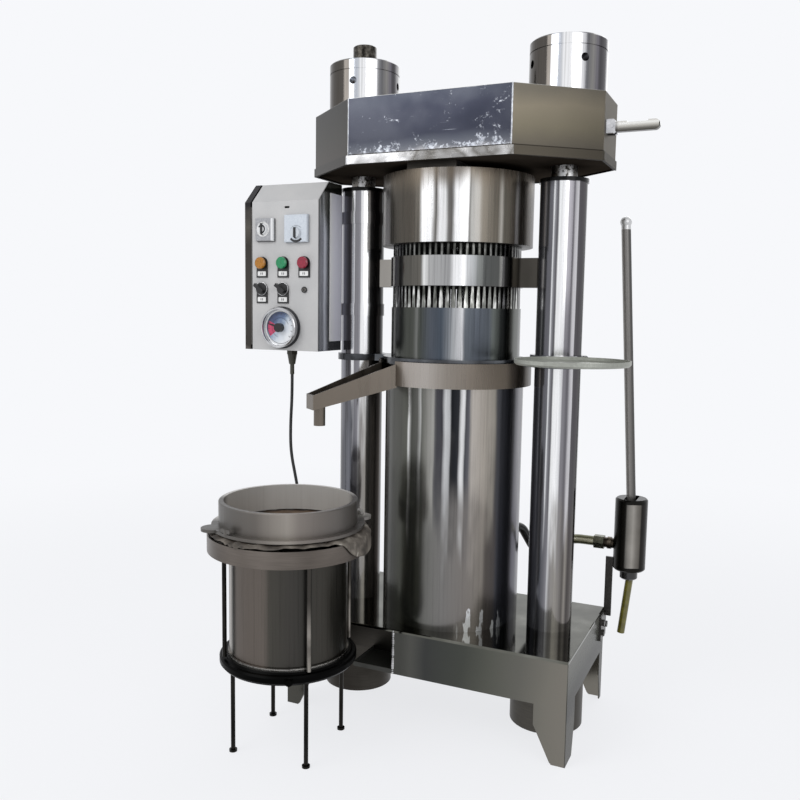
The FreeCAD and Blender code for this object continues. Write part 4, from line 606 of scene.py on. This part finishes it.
# Powder enamel: even light grey with a fine orange-peel skin
door_enamel = coated("grey_panel_enamel", "#bcbbba", "#b0b0b0", 0.45, 0.5, coat=0.08)
# Moulded ABS: nearly black, semi-gloss, fine spark texture
black_abs = coated("black_moulded_abs", "#1e1e1f", "#121213", 0.32, 1.2, bump=0.2)
gloss_black = coated("gloss_black_enamel", "#040404", "#020202", 0.3, 0.05, sheen=0.03)
dark_paint = coated("dark_lacquered_steel", "#55534f", "#383634", 0.35, 0.15, metallic=0.6)
# Black print, also used for the painted shadows round the meters and beside the left knob
black_ink_and_shade = coated("black_print_and_shade", "#16181d", "#0c0d10", 0.4, 0.8)
ink_grey = coated("grey_label_print", "#6a6a6c", "#4a4a4c", 0.45, 0.8)
white_plate = coated("white_label_plastic", "#e6e6e4", "#d4d4d3", 0.4, 0.8)
olive_rubber = coated("olive_gland_nylon", "#3b3a2e", "#26251c", 0.38, 0.6)
cord_rubber = coated("black_cord_rubber", "#171717", "#0d0d0d", 0.42, 0.9)


# Coloured button lenses: clear dyed plastic over a ribbed inner face, in small pale and deep cells
def lens(name, deep, pale):
    skin, _, point = start(name)
    ribs = field(point.tree, "ShaderNodeTexVoronoi", {"Vector": point, "Scale": 0.3})
    return close(skin, ramp(ribs, ((0.1, pale), (0.9, deep))), Roughness=0.12, Coat_Weight=0.35)


# Filter cloth: close woven cotton, brown with oil in the middle and pale where its folded edge stays dry,
# with painted highlights and shade on the crumples of that edge
def cloth_weave():
    skin, (x, y, _), point = start("oiled_filter_cloth")
    # Threads are 0.5 mm apart and would not show, so they are drawn 2 mm apart
    threads = {"Vector": point, "Scale": 0.16, "Distortion": 0.6}
    across = field(point.tree, "ShaderNodeTexWave", threads, 1)
    weave = across * field(point.tree, "ShaderNodeTexWave", threads, 1, bands_direction="Y")
    dx = x - DRUM[0]
    dy = y - DRUM[1]
    stain = mottle(point, 0.03, 4.0)
    edge = (dx * dx + dy * dy) ** 0.5 + stain * 30.0
    oiled = ramp(stain, ((0.3, "#4a3b2e"), (0.6, "#6b5846"), (0.8, "#8a755d")))
    # The dry edge: pale cloth with painted highlights and painted shade in its crumples
    dry_cloth_with_painted_light = ramp(stain, ((0.3, "#2f2b26"), (0.5, "#5f5850"), (0.64, "#8a8379"), (0.72, "#d2cdc4")))
    colour = blend(span(edge, 160.0, 190.0), oiled, dry_cloth_with_painted_light)
    colour = blend(0.35, colour, ramp(weave, ((0.0, 0.55), (1.0, 1.0))), "MULTIPLY")
    return close(skin, colour, Roughness=0.72, Normal=relief(weave, 0.4, 0.0004))


# Clear PVC drain hose, yellowed by oil, with a black end at its top
def drain_hose():
    skin, (_, _, z), point = start("oil_yellow_hose")
    colour = ramp(mottle(point, 0.05, 2.0), ((0.3, "#4f4916"), (0.7, "#6b6524")))
    colour = blend(span(z, 327.4, 328.4), colour, "#151515")
    return close(skin, colour, Roughness=0.2, Coat_Weight=0.3)


# Pump barrel: dark steel sides and one bright face, painted as shade and highlight round the barrel
def pump_steel():
    skin, (x, y, z), point = start("blued_pump_steel")
    # Painted shade on the sides and a painted highlight on the face towards the front, in bands round the
    # barrel
    lit_and_shaded_faces = ramp(around(x, y, PUMP)[0], band_stops((
        (-1.0, "#171614"), (-0.5, "#262522"), (-0.42, "#77746f"), (-0.05, "#a39f98"), (0.2, "#7d7973"),
        (0.4, "#66625c"), (0.46, "#2a2826"), (1.0, "#141311")), "#1c1b19"))
    colour = blend((z < 364.0) + (z > 526.0), lit_and_shaded_faces, "#1f1e1c")
    colour = blend(1.0, colour, ramp(mottle(point, 0.02, 3.0), ((0.3, 0.75), (0.7, 1.0))), "MULTIPLY")
    return close(skin, colour, Metallic=0.9, Roughness=0.28)


# Gauge dial: printed blue-grey face with a pink-red warning sector on the left
def dial_print():
    skin, (x, _, z), point = start("printed_dial")
    dx = x - GAUGE[0]
    dz = z - GAUGE[1]
    turn = bearing(vector(dx, dz))
    reach = (dx * dx + dz * dz) ** 0.5
    lean = (dx - dz) / 90.0 + 0.45 + (mottle(point, 0.06, 2.0) - 0.5) * 0.5
    face = ramp(lean, (
        (0.0, "#2f4068"), (0.2, "#54698c"), (0.4, "#93a3b8"), (0.6, "#ccd3db"), (1.0, "#e6e8ea")))
    inside = reach < 37.0
    sector = reckon("MAXIMUM", (turn > 0.925) * inside, (turn < 0.1) * inside)
    colour = blend(reach > 39.5, blend(sector, face, "#c2335f"), "#e4e6e8")
    return close(skin, colour, Roughness=0.25, Coat_Weight=0.7)


# Knob with a pale skirt and a black grip
def knob_plastic(name, centre_x, skirt):
    skin, (x, _, _), point = start(name)
    colour = blend(abs(x - centre_x) < 2.7, skirt, "#17181a")
    bump = relief(mottle(point, 0.9, 2.0), 0.1, 0.0003)
    return close(skin, colour, Roughness=0.35, Normal=bump)


# Moulded meter housings: mottled mid grey on the left one and pale blue-grey on the right one
def meter_plastic():
    skin, (x, _, _), point = start("moulded_meter_abs")
    speck = mottle(point, 0.5, 3.0)
    grey = blend(span(x, -431.0, -429.5), ramp(speck, ((0.35, "#85868a"), (0.65, "#a9aaad"))), "#d9dadb")
    pale = ramp(speck, ((0.35, "#b9c0c9"), (0.65, "#cad0d7")))
    colour = blend(span(x, -410.0, -400.0), grey, pale)
    return close(skin, colour, Roughness=0.4, Normal=relief(speck, 0.15, 0.0003))


# Beam handle: steel bar with a painted highlight along its upper side and painted shade underneath, and a
# black sleeve on its far end
def handle_steel():
    skin, (x, _, z), _ = start("polished_handle_bar")
    # Painted highlight along the upper side of the bar, painted shade underneath
    bar = ramp((z - 1395.0) / 22.0, (
        (0.0, "#3a3834"), (0.25, "#6e6b66"), (0.5, "#b9b6af"), (0.75, "#ecebe7"), (1.0, "#c9c6c0")))
    colour = blend(span(x, 472.5, 474.0), bar, "#191918")
    return close(skin, colour, Metallic=1.0, Roughness=0.2)


# Pump lever: drawn steel tube that leans left, with a painted highlight along its left and painted shade on
# its right, and a pale ball
def lever_steel():
    skin, (x, _, z), _ = start("drawn_lever_tube")
    axis_x = PUMP[0] - (z - 505.0) * (44.0 / 719.0)
    # Painted highlight along the left of the tube, painted shade on its right
    bar = ramp((x - axis_x) / 24.0 + 0.5, (
        (0.0, "#83817e"), (0.3, "#a19e9b"), (0.55, "#807d7a"), (0.8, "#5a5856"), (1.0, "#3a3938")))
    colour = blend(span(z, 1205.0, 1207.0), bar, "#c9c9c9")
    return close(skin, colour, Metallic=0.6, Roughness=0.3)


# Polished box shell: the left rim is a dark mirror and the right wall a paler one, both with painted
# reflections in soft bands, and a strip of lilac protective film is left on the plate beside it, painted
# near white to stand in for light in the column's shade, and darker, as painted shade, at its rear edge.
def box_steel():
    skin, (x, y, z), point = start("polished_box_sheet")
    soft = mottle(point, 1 / 70.0, 2.0)
    # Painted reflections on the left rim, in soft bands up its height
    left = ramp((z - BOX_BOTTOM) * 0.0024 + soft * 0.25, (
        (0.08, "#77726c"), (0.16, "#3b3834"), (0.45, "#45413d"), (0.75, "#3b3733"), (0.9, "#57534d"),
        (1.0, "#242224")))
    rise = (z - BOX_BOTTOM) / 417.0
    depth = (y - BOX_FRONT) / 57.0
    # Painted reflections on the right wall and its top, in bands from front to back
    right = ramp(depth + soft * 0.15, (
        (0.05, "#84878d"), (0.3, "#aaadb5"), (0.5, "#8c8f97"), (0.62, "#bec1ca"), (0.85, "#84868d"),
        (1.0, "#5d5e62")))
    top = ramp(depth + rise * 0.4, (
        (0.35, "#4a4c4c"), (0.5, "#c6cac9"), (0.62, "#5c5f5f"), (0.8, "#8d9090"), (0.95, "#33342f")))
    right = blend(span(rise + depth * 0.1, 0.72, 0.92), right, top)
    # Lilac film painted near white to stand in for light in the column's shade, with painted shade at its
    # rear edge
    film = ramp((y - FILM_FRONT) / 61.5, (
        (0.0, "#fbfafa"), (0.15, "#f4f4fb"), (0.5, "#eeeefa"), (0.9, "#e6e6f2"), (1.0, "#c0bfc7")))
    on_plate = x > -299.7
    colour = blend(on_plate, blend(span(x, -420.0, -400.0), left, right), film)
    return close(skin, colour, Metallic=(1.0 - on_plate) * 0.7, Roughness=0.18 + on_plate * 0.2)


def dress(node, material):
    """Gives a carried-over node its finish."""
    obj = nodes[node]
    if obj.material_slots:
        for slot in obj.material_slots:
            slot.material = material
    else:
        obj.data.materials.append(material)


FINISHES = {
    column_steel: "column_sleeves tray_collar box_bracket",
    head_steel: "head_cover",
    band_steel: "cage_band",
    guard_steel: "guard_sleeve",
    shroud_steel: "cylinder_shroud",
    nut_steel: "column_nuts",
    tank_steel: "drum_tank",
    tray_steel: "oil_tray outlet_pipe",
    dish_steel: "tray_dish",
    plate_steel: "barrel_plate press_plate",
    ring_steel: "filter_ring ring_clips",
    gutter_steel: "drum_gutter",
    under_steel: "upper_crosshead",
    cast_steel: "lower_crosshead main_cylinder gland_ring ram head_block lower_nuts",
    bright_steel: "gauge_case latch_clevis",
    drum_rod_steel(): "drum_rods",
    rod_ends(): "tie_rods",
    feed_line(): "feed_pipe",
    cage_steel(): "press_cage",
    base_sheet(): "base_front_panels base_rear_panels",
    top_sheet(): "base_top_plate",
    beam_sheet(): "beam_cover",
    door_enamel: "box_door",
    black_abs: "button_holders selector_left selector_right door_lock gauge_pointer",
    gloss_black: "drum_base",
    dark_paint: "pump_bracket door_hinge",
    meter_plastic(): "meter_frames",
    olive_rubber: "cable_gland",
    cord_rubber: "ram_seal power_plug power_coil power_lead",
    drain_hose(): "pump_gland",
    pump_steel(): "pump_body",
    handle_steel(): "beam_handle",
    lever_steel(): "pump_lever",
    box_steel(): "control_box",
    knob_plastic("left_meter_knob", LEFT_METER[0], "#d9dadb"): "meter_knob_left",
    knob_plastic("right_meter_knob", RIGHT_METER[0], "#c5cad0"): "meter_knob_right",
    lens("amber_lens", "#8f5a06", "#b3760f"): "button_yellow",
    lens("green_lens", "#067044", "#0f8c58"): "button_green",
    lens("crimson_lens", "#760a24", "#961234"): "button_red",
}
for finish, names in FINISHES.items():
    for name in names.split():
        dress(name, finish)


# Mains lead: rubber cable with the route's own points, then the turns of its coil
CORD_R = 4.0
LEAD_POINTS = [
    (-411, -100, 831), (-411, -100, 774), (-417, -98, 702), (-414, -102, 630), (-399, -103, 566),
    (-386, -101, 500), (-381, -96, 427), (-385, -89, 348), (-394, -79, 270), (-401, -66, 192),
    (-405, -48, 124), (-414, -24, 66), (-431, 6, 24), (-457, 36, 5), (-474, 59, 4.2),
]
COIL_STEPS = 14
# Turns from the coil's start, with the radius and height of the cord there: three turns side by side on the
# floor, wound inwards, then one that lies in their grooves and leaves outwards to the plug
COIL_TURNS = (
    (0.0, 56.0, 4.2), (0.08, 54.6, 4.2), (0.2, 52.9, 4.2), (0.3, 52.5, 4.2), (0.75, 52.5, 4.2),
    (1.05, 44.5, 4.2), (1.75, 44.5, 4.2), (2.05, 36.5, 4.2), (2.45, 36.5, 4.2),
    (2.75, 39.6, 12.2), (3.1, 40.0, 12.2), (3.2, 40.0, 11.3), (3.4, 40.0, 11.5), (3.75, 48.5, 12.3),
    (3.97, 48.4, 12.3),
)
LEAD_END = [(47.2, -2, 12.4), (46.4, 8, 12.7), (45.2, 17, 13.0), (44.2, 25, 13.2), (44, 34, 13.2)]


def coil_points():
    points = []
    for i in range(1, int(3.97 * COIL_STEPS) + 1):
        turn = i / COIL_STEPS
        for before, after in zip(COIL_TURNS, COIL_TURNS[1:]):
            if before[0] <= turn <= after[0]:
                share = (turn - before[0]) / (after[0] - before[0])
                radius = before[1] + share * (after[1] - before[1])
                z = before[2] + share * (after[2] - before[2])
        angle = 2 * math.pi * turn - math.radians(13)
        points.append((COIL[0] + radius * math.cos(angle), COIL[1] + radius * math.sin(angle), z))
    return points + [(COIL[0] + x, COIL[1] + y, z) for x, y, z in LEAD_END]


def power_lead():
    curve = bpy.data.curves.new("power_lead_cord", "CURVE")
    curve.dimensions = "3D"
    curve.bevel_depth = CORD_R * MM
    curve.bevel_resolution = 5
    curve.resolution_u = 8
    curve.use_fill_caps = True
    route = LEAD_POINTS + coil_points()
    spline = curve.splines.new("NURBS")
    spline.points.add(len(route) - 1)
    for point, where in zip(spline.points, route):
        point.co = (*at(*where), 1.0)
    spline.order_u = 3
    spline.use_endpoint_u = True
    obj = bpy.data.objects.new("power_lead_cord", curve)
    obj.data.materials.append(cord_rubber)
    bpy.context.scene.collection.objects.link(obj)
    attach(obj, "frame")
    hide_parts("power_lead", "power_coil")
    return obj


lead = power_lead()


# Small pieces
def piece(name, body, material, bm, smooth=False):
    """Turns a finished bmesh into a piece on a body."""
    bmesh.ops.recalc_face_normals(bm, faces=bm.faces)
    mesh = bpy.data.meshes.new(name)
    bm.to_mesh(mesh)
    bm.free()
    if smooth:
        mesh.polygons.foreach_set("use_smooth", [True] * len(mesh.polygons))
    mesh.materials.append(material)
    obj = bpy.data.objects.new(name, mesh)
    bpy.context.scene.collection.objects.link(obj)
    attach(obj, body)
    return obj


def add_block(bm, left, right, low, high, front, rear, corner=1.0):
    """Plate that faces the front, with cut corners."""
    outline = [
        (left + corner, low), (right - corner, low), (right, low + corner), (right, high - corner),
        (right - corner, high), (left + corner, high), (left, high - corner), (left, low + corner)]
    faces = [[bm.verts.new(at(x, y, z)) for x, z in outline] for y in (front, rear)]
    bm.faces.new(faces[0])
    bm.faces.new(faces[1][::-1])
    for i in range(len(outline)):
        j = (i + 1) % len(outline)
        bm.faces.new((faces[0][j], faces[0][i], faces[1][i], faces[1][j]))


def add_ring(bm, x, z, inner, outer, front, rear, start=0, stop=360):
    """Flat ring or part of one that faces the front, its corners eased by 0.4 mm."""
    steps = 72
    whole = stop - start >= 360
    profile = [(inner, rear), (inner, front), (outer - 0.4, front), (outer, front + 0.4), (outer, rear)]
    rows = []
    for i in range(steps if whole else steps + 1):
        angle = math.radians(start + (stop - start) * i / steps)
        way = (math.cos(angle), math.sin(angle))
        rows.append([bm.verts.new(at(x + r * way[0], y, z + r * way[1])) for r, y in profile])
    for i in range(steps):
        now = rows[i]
        then = rows[(i + 1) % len(rows)]
        for k in range(len(profile)):
            m = (k + 1) % len(profile)
            bm.faces.new((now[k], now[m], then[m], then[k]))
    if not whole:
        bm.faces.new(rows[0])
        bm.faces.new(rows[-1][::-1])


def door_details():
    gauge_face = BOX_FRONT - 8.0
    bm = bmesh.new()
    add_ring(bm, *GAUGE, 3.5, 44.5, gauge_face - 0.3, gauge_face - 0.05)
    piece("gauge_dial", "door", dial_print(), bm)

    bm = bmesh.new()
    add_ring(bm, *GAUGE, 24.0, 24.9, gauge_face - 0.5, gauge_face - 0.3, 20, 250)
    add_ring(bm, *GAUGE, 39.2, 40.2, gauge_face - 0.5, gauge_face - 0.3)
    piece("gauge_rings", "door", black_ink_and_shade, bm)

    # Label plates under the buttons and the selectors, with plain bars instead of words
    bm = bmesh.new()
    ink = bmesh.new()
    label_face = BOX_FRONT - 3.6
    for x, z in [(x, BUTTON_Z) for x in BUTTON_XS] + [(x, SELECTOR_Z) for x in BUTTON_XS[:2]]:
        add_block(bm, x - 12, x + 12, z - 32, z - 20.5, label_face, PLATE_FACE)
        add_block(ink, x - 3.4, x - 1.2, z - 29, z - 23.5, label_face - 0.15, label_face, 0.3)
        add_block(ink, x + 1.2, x + 3.4, z - 29, z - 23.5, label_face - 0.15, label_face, 0.3)
    piece("label_plates", "door", white_plate, bm)
    piece("label_bars", "door", ink_grey, ink)

    # Chrome rings round the selectors
    bm = bmesh.new()
    for x in BUTTON_XS[:2]:
        add_ring(bm, x, SELECTOR_Z, 14.8, 16.4, BOX_FRONT - 5.6, PLATE_FACE)
    piece("selector_rings", "door", bright_steel, bm, True)

    # White scale disc of the left meter, then the dark gaskets of both, which show past their lower and
    # right edges as painted shadow, the arcs on the right one, the lower one a painted shadow under its
    # knob, and the gauge's gasket
    bm = bmesh.new()
    add_ring(bm, *LEFT_METER, 4.0, 18.6, METER_FACE - 0.4, METER_FACE)
    piece("meter_scale", "door", white_plate, bm)
    bm = bmesh.new()
    # The gaskets stand out past the meters' lower and right edges as painted shadow
    add_block(bm, -475.6, -422.6, 1164.6, 1221.6, BOX_FRONT - 2.4, BOX_FRONT - 0.02)
    add_block(bm, -391.6, -325.6, 1161.0, 1228.0, BOX_FRONT - 1.0, BOX_FRONT - 0.02)
    # Painted shadow under the right meter's knob
    add_ring(bm, *RIGHT_METER, 17.5, 23.0, METER_FACE - 0.45, METER_FACE, 222, 318)
    add_ring(bm, *RIGHT_METER, 17.6, 18.2, METER_FACE - 0.35, METER_FACE, 40, 150)
    add_ring(bm, *GAUGE, 48.0, 52.6, BOX_FRONT - 5.0, BOX_FRONT - 0.02)
    piece("meter_gaskets_and_shadows", "door", black_ink_and_shade, bm)

    bm = bmesh.new()
    # Painted shadow: a black arc on the right of the left knob
    add_ring(bm, *LEFT_METER, 7.0, 11.0, BOX_FRONT - 16.75, BOX_FRONT - 16.35, -75, 150)
    piece("left_knob_shadow", "knob_left", black_ink_and_shade, bm)
    # Ring round the keyhole of the lock
    bm = bmesh.new()
    add_ring(bm, *LOCK, 3.4, 4.6, LOCK_FRONT - 0.25, LOCK_FRONT + 0.1)
    piece("lock_ring", "door", rod_steel, bm)


# Geometry Nodes: one small piece set at even steps along a drawn path and turned away from a centre
def repeat_tree(name, rounded):
    tree = bpy.data.node_groups.new(name, "GeometryNodeTree")
    sockets = {}
    for label, kind in (("Path", "Geometry"), ("Count", "Int"), ("Size", "Vector"), ("Centre", "Vector"),
                        ("Jitter", "Float"), ("Finish", "Material")):
        entry = tree.interface.new_socket(label, in_out="INPUT", socket_type="NodeSocket" + kind)
        sockets[label] = entry.identifier
    tree.interface.new_socket("Result", in_out="OUTPUT", socket_type="NodeSocketGeometry")
    entry = add(tree, "NodeGroupInput").outputs
    curve = field(tree, "GeometryNodeMeshToCurve", {0: entry["Path"]})
    steps = {"Curve": curve, "Count": entry["Count"]}
    points = field(tree, "GeometryNodeCurveToPoints", steps, mode="COUNT")
    where = field(tree, "GeometryNodeInputPosition")
    away = field(tree, "ShaderNodeVectorMath", {0: where, 1: entry["Centre"]}, operation="SUBTRACT")
    aim = field(tree, "FunctionNodeAlignRotationToVector", {"Vector": away}, axis="Z")
    if rounded:
        shape = field(tree, "GeometryNodeMeshIcoSphere", {"Radius": 0.5, "Subdivisions": 3})
    else:
        shape = field(tree, "GeometryNodeMeshCube")
    jitter = Field(entry["Jitter"])
    limits = {2: 1.0 - jitter, 3: 1.0 + jitter, 8: 11}
    vary = field(tree, "FunctionNodeRandomValue", limits, 1, data_type="FLOAT")
    size = field(tree, "ShaderNodeVectorMath", {0: entry["Size"], 3: vary}, operation="SCALE")
    spots = {"Points": points, "Instance": shape, "Rotation": aim, "Scale": size}
    placed = field(tree, "GeometryNodeInstanceOnPoints", spots)
    real = field(tree, "GeometryNodeRealizeInstances", {0: placed})
    done = field(tree, "GeometryNodeSetMaterial", {"Geometry": real, "Material": entry["Finish"]})
    add(tree, "NodeGroupOutput", {0: done})
    return tree, sockets


bar_tree = repeat_tree("bars_along_path", False)
bead_tree = repeat_tree("beads_along_path", True)


def repeated(name, body, material, kit, path, count, size, centre, jitter=0.0):
    mesh = bpy.data.meshes.new(name)
    mesh.from_pydata([at(*point) for point in path], [(i, i + 1) for i in range(len(path) - 1)], [])
    obj = bpy.data.objects.new(name, mesh)
    bpy.context.scene.collection.objects.link(obj)
    tree, sockets = kit
    modifier = obj.modifiers.new("repeat", "NODES")
    modifier.node_group = tree
    for label, value in (("Count", count), ("Size", [s * MM for s in size]), ("Centre", list(at(*centre))),
                         ("Jitter", jitter), ("Finish", material)):
        modifier[sockets[label]] = value
    graph = bpy.context.evaluated_depsgraph_get()
    done = bpy.data.meshes.new_from_object(obj.evaluated_get(graph))
    obj.modifiers.clear()
    obj.data = done
    done.name = name
    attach(obj, body)


def dial_marks(name, x, y, z, radius, start, stop, steps, count, size):
    """Bars on an arc about a point of the door, each turned to that point."""
    path = []
    for i in range(steps + 1):
        angle = math.radians(start + (stop - start) * i / steps)
        path.append((x + radius * math.cos(angle), y, z + radius * math.sin(angle)))
    repeated(name, "door", black_ink_and_shade, bar_tree, path, count, size, (x, y, z))


def repeated_details():
    dial = (GAUGE[0], BOX_FRONT - 8.4, GAUGE[1])
    dial_marks("gauge_ticks", *dial, 35.6, -40, 210, 72, 51, (0.5, 0.25, 3.4))
    dial_marks("gauge_marks", *dial, 34.2, -40, 210, 72, 11, (1.1, 0.3, 6.4))
    scale = (LEFT_METER[0], BOX_FRONT - 10.4, LEFT_METER[1])
    dial_marks("scale_ticks", *scale, 17.2, -45, 225, 48, 25, (0.5, 0.2, 2.6))
    # Weld beads where the two front panels of the base meet, and at the ends of the beam's front face. Each
    # centre lies far below, so that the beads stand upright.
    weld = [(SEAM_X + 1.2 * math.sin(1.7 * i), BASE_FRONT + 0.4, 136.0 + 1.5 * i) for i in range(69)]
    repeated("panel_weld", "frame", weld_steel, bead_tree, weld, 19, (5.6, 3.0, 5.2),
             (SEAM_X, BASE_FRONT + 0.4, -9000.0), 0.4)
    for name, x in (("beam_weld_left", -195.2), ("beam_weld_right", 195.2)):
        seam = [(x, BEAM_FRONT, 1353.0 + 4 * i) for i in range(32)]
        repeated(name, "frame", weld_steel, bead_tree, seam, 70, (1.5, 1.5, 2.4),
                 (x, BEAM_FRONT, -9000.0), 0.25)


# Filter cloth: laid on the tank, folded under the ring's flange and hanging over the gutter's rim
CLOTH_TURNS = 240
CLOTH_ROWS = 46
CLOTH_LEVEL = 508.5
RIM_R = 184.0
RIM_LEVEL = 503.6


def bulge(angle, middle, width, power=2):
    """1 at one angle, falling away to both sides."""
    return math.exp(-((angle - middle) / width) ** power)


def hang(angle):
    """How far the cloth reaches past the gutter's rim at this angle, in millimetres."""
    round_it = math.radians(angle)
    wave = noise.noise(Vector((math.cos(round_it) * 4, math.sin(round_it) * 4, 2.5)))
    return -4.5 + 6.0 * wave + 48.0 * bulge(angle, 4, 20.0, 4) + 9.0 * bulge(angle, -97, 12.0)


def cloth_point(row, turn):
    angle = 360.0 * turn / CLOTH_TURNS - 180.0
    round_it = math.radians(angle)
    along = (RIM_R + max(-9.0, hang(angle))) * (row / CLOTH_ROWS) ** 0.8
    ripple = math.sin(round_it * 23 + 2.0 * math.sin(round_it * 3)) + 0.5 * math.sin(round_it * 41 + 1.3)
    grow = min(1.0, max(0.0, (along - 136) / 34))
    radius = along
    # Flat on the tank, folds up to the flange, then a slope down to the gutter's rim
    z = CLOTH_LEVEL + 2.0 * grow + 1.5 * grow * ripple
    if along > 168:
        slope = min(1.0, (along - 168) / 15.0)
        z += (RIM_LEVEL - z) * slope * slope + 1.2 * slope * (1 - slope) * ripple
    if along > RIM_R:
        drop = along - RIM_R
        bend = min(drop, 6.0)
        radius = RIM_R + 2.0 * math.sin(bend / 6.0 * math.pi / 2)
        radius += min(1.0, drop / 14.0) * (1.6 + 1.4 * ripple)
        z = RIM_LEVEL - 0.12 * bend * bend - max(0.0, drop - 6.0)
    crumple = bulge(angle, -97, 9.0) * min(1.0, max(0.0, (along - 170) / 10))
    z += crumple * (2.5 + 3.0 * math.sin(round_it * 70))
    return DRUM[0] + radius * math.cos(round_it), DRUM[1] + radius * math.sin(round_it), z


def filter_cloth():
    bm = bmesh.new()
    middle = bm.verts.new(at(*DRUM, CLOTH_LEVEL))
    rows = []
    for row in range(1, CLOTH_ROWS + 1):
        rows.append([bm.verts.new(at(*cloth_point(row, turn))) for turn in range(CLOTH_TURNS)])
    for turn in range(CLOTH_TURNS):
        then = (turn + 1) % CLOTH_TURNS
        bm.faces.new((middle, rows[0][turn], rows[0][then]))
        for near, out in zip(rows, rows[1:]):
            bm.faces.new((near[turn], out[turn], out[then], near[then]))
    area = sum(face.calc_area() for face in bm.faces)
    obj = piece("filter_cloth_sheet", "frame", cloth_weave(), bm, True)
    thick = obj.modifiers.new("thickness", "SOLIDIFY")
    thick.thickness = 0.0008
    thick.offset = 0.0
    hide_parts("filter_cloth")
    across = 2 * math.sqrt(area / math.pi)


door_details()
repeated_details()
filter_cloth()


# Floor and light
FLOOR_TONE = linear("#f7f8fb")


def make_floor():
    mesh = bpy.data.meshes.new("floor")
    reach = 14.0
    corners = [(-reach, -reach), (reach, -reach), (reach, reach), (-reach, reach)]
    mesh.from_pydata([(x, y, -0.0006) for x, y in corners], [], [(0, 1, 2, 3)])
    floor = bpy.data.objects.new("floor", mesh)
    bpy.context.scene.collection.objects.link(floor)
    material = bpy.data.materials.new("pale_floor")
    tree = cleared_tree(material)
    coords = field(tree, "ShaderNodeTexCoord", out="Object")
    away = field(tree, "ShaderNodeVectorMath", {0: coords}, "Value", operation="LENGTH")
    lit = field(tree, "ShaderNodeBsdfDiffuse", {"Color": linear("#efeff0")})
    glow = field(tree, "ShaderNodeEmission", {"Color": FLOOR_TONE, "Strength": 1.0})
    share = spread(span(away, 1.2, 3.6), 0.82, 1.0)
    surface = field(tree, "ShaderNodeMixShader", {0: share, 1: lit, 2: glow})
    add(tree, "ShaderNodeOutputMaterial", {"Surface": surface})
    mesh.materials.append(material)


def make_world():
    """A sky that lights softly, and that the camera and mirrors see as pale as the floor."""
    world = bpy.data.worlds.new("studio")
    bpy.context.scene.world = world
    tree = cleared_tree(world)
    path = add(tree, "ShaderNodeLightPath").outputs
    mirrored = reckon("MAXIMUM", Field(path["Is Glossy Ray"]), path["Is Transmission Ray"])
    seen = reckon("MAXIMUM", mirrored, path["Is Camera Ray"])
    soft = field(tree, "ShaderNodeBackground", {"Color": linear("#f2f4f8"), "Strength": 0.62})
    pale = field(tree, "ShaderNodeBackground", {"Color": FLOOR_TONE, "Strength": 1.0})
    both = field(tree, "ShaderNodeMixShader", {0: seen, 1: soft, 2: pale})
    add(tree, "ShaderNodeOutputWorld", {"Surface": both})


def make_lamps():
    aim = Vector((0, 0.1, 0.8))
    for name, where, size, power in (("key", (-1.6, -2.6, 3.0), 2.2, 52.0),
                                     ("fill", (2.6, -2.2, 2.2), 2.4, 26.0),
                                     ("back", (0.4, 2.8, 2.8), 2.4, 24.0)):
        lamp = bpy.data.lights.new(name, "AREA")
        lamp.size = size
        lamp.energy = power
        light = bpy.data.objects.new(name, lamp)
        light.location = where
        light.rotation_euler = (aim - Vector(where)).to_track_quat("-Z", "Y").to_euler()
        bpy.context.scene.collection.objects.link(light)


make_floor()
make_world()
make_lamps()

bpy.context.scene.view_settings.view_transform = "Standard"
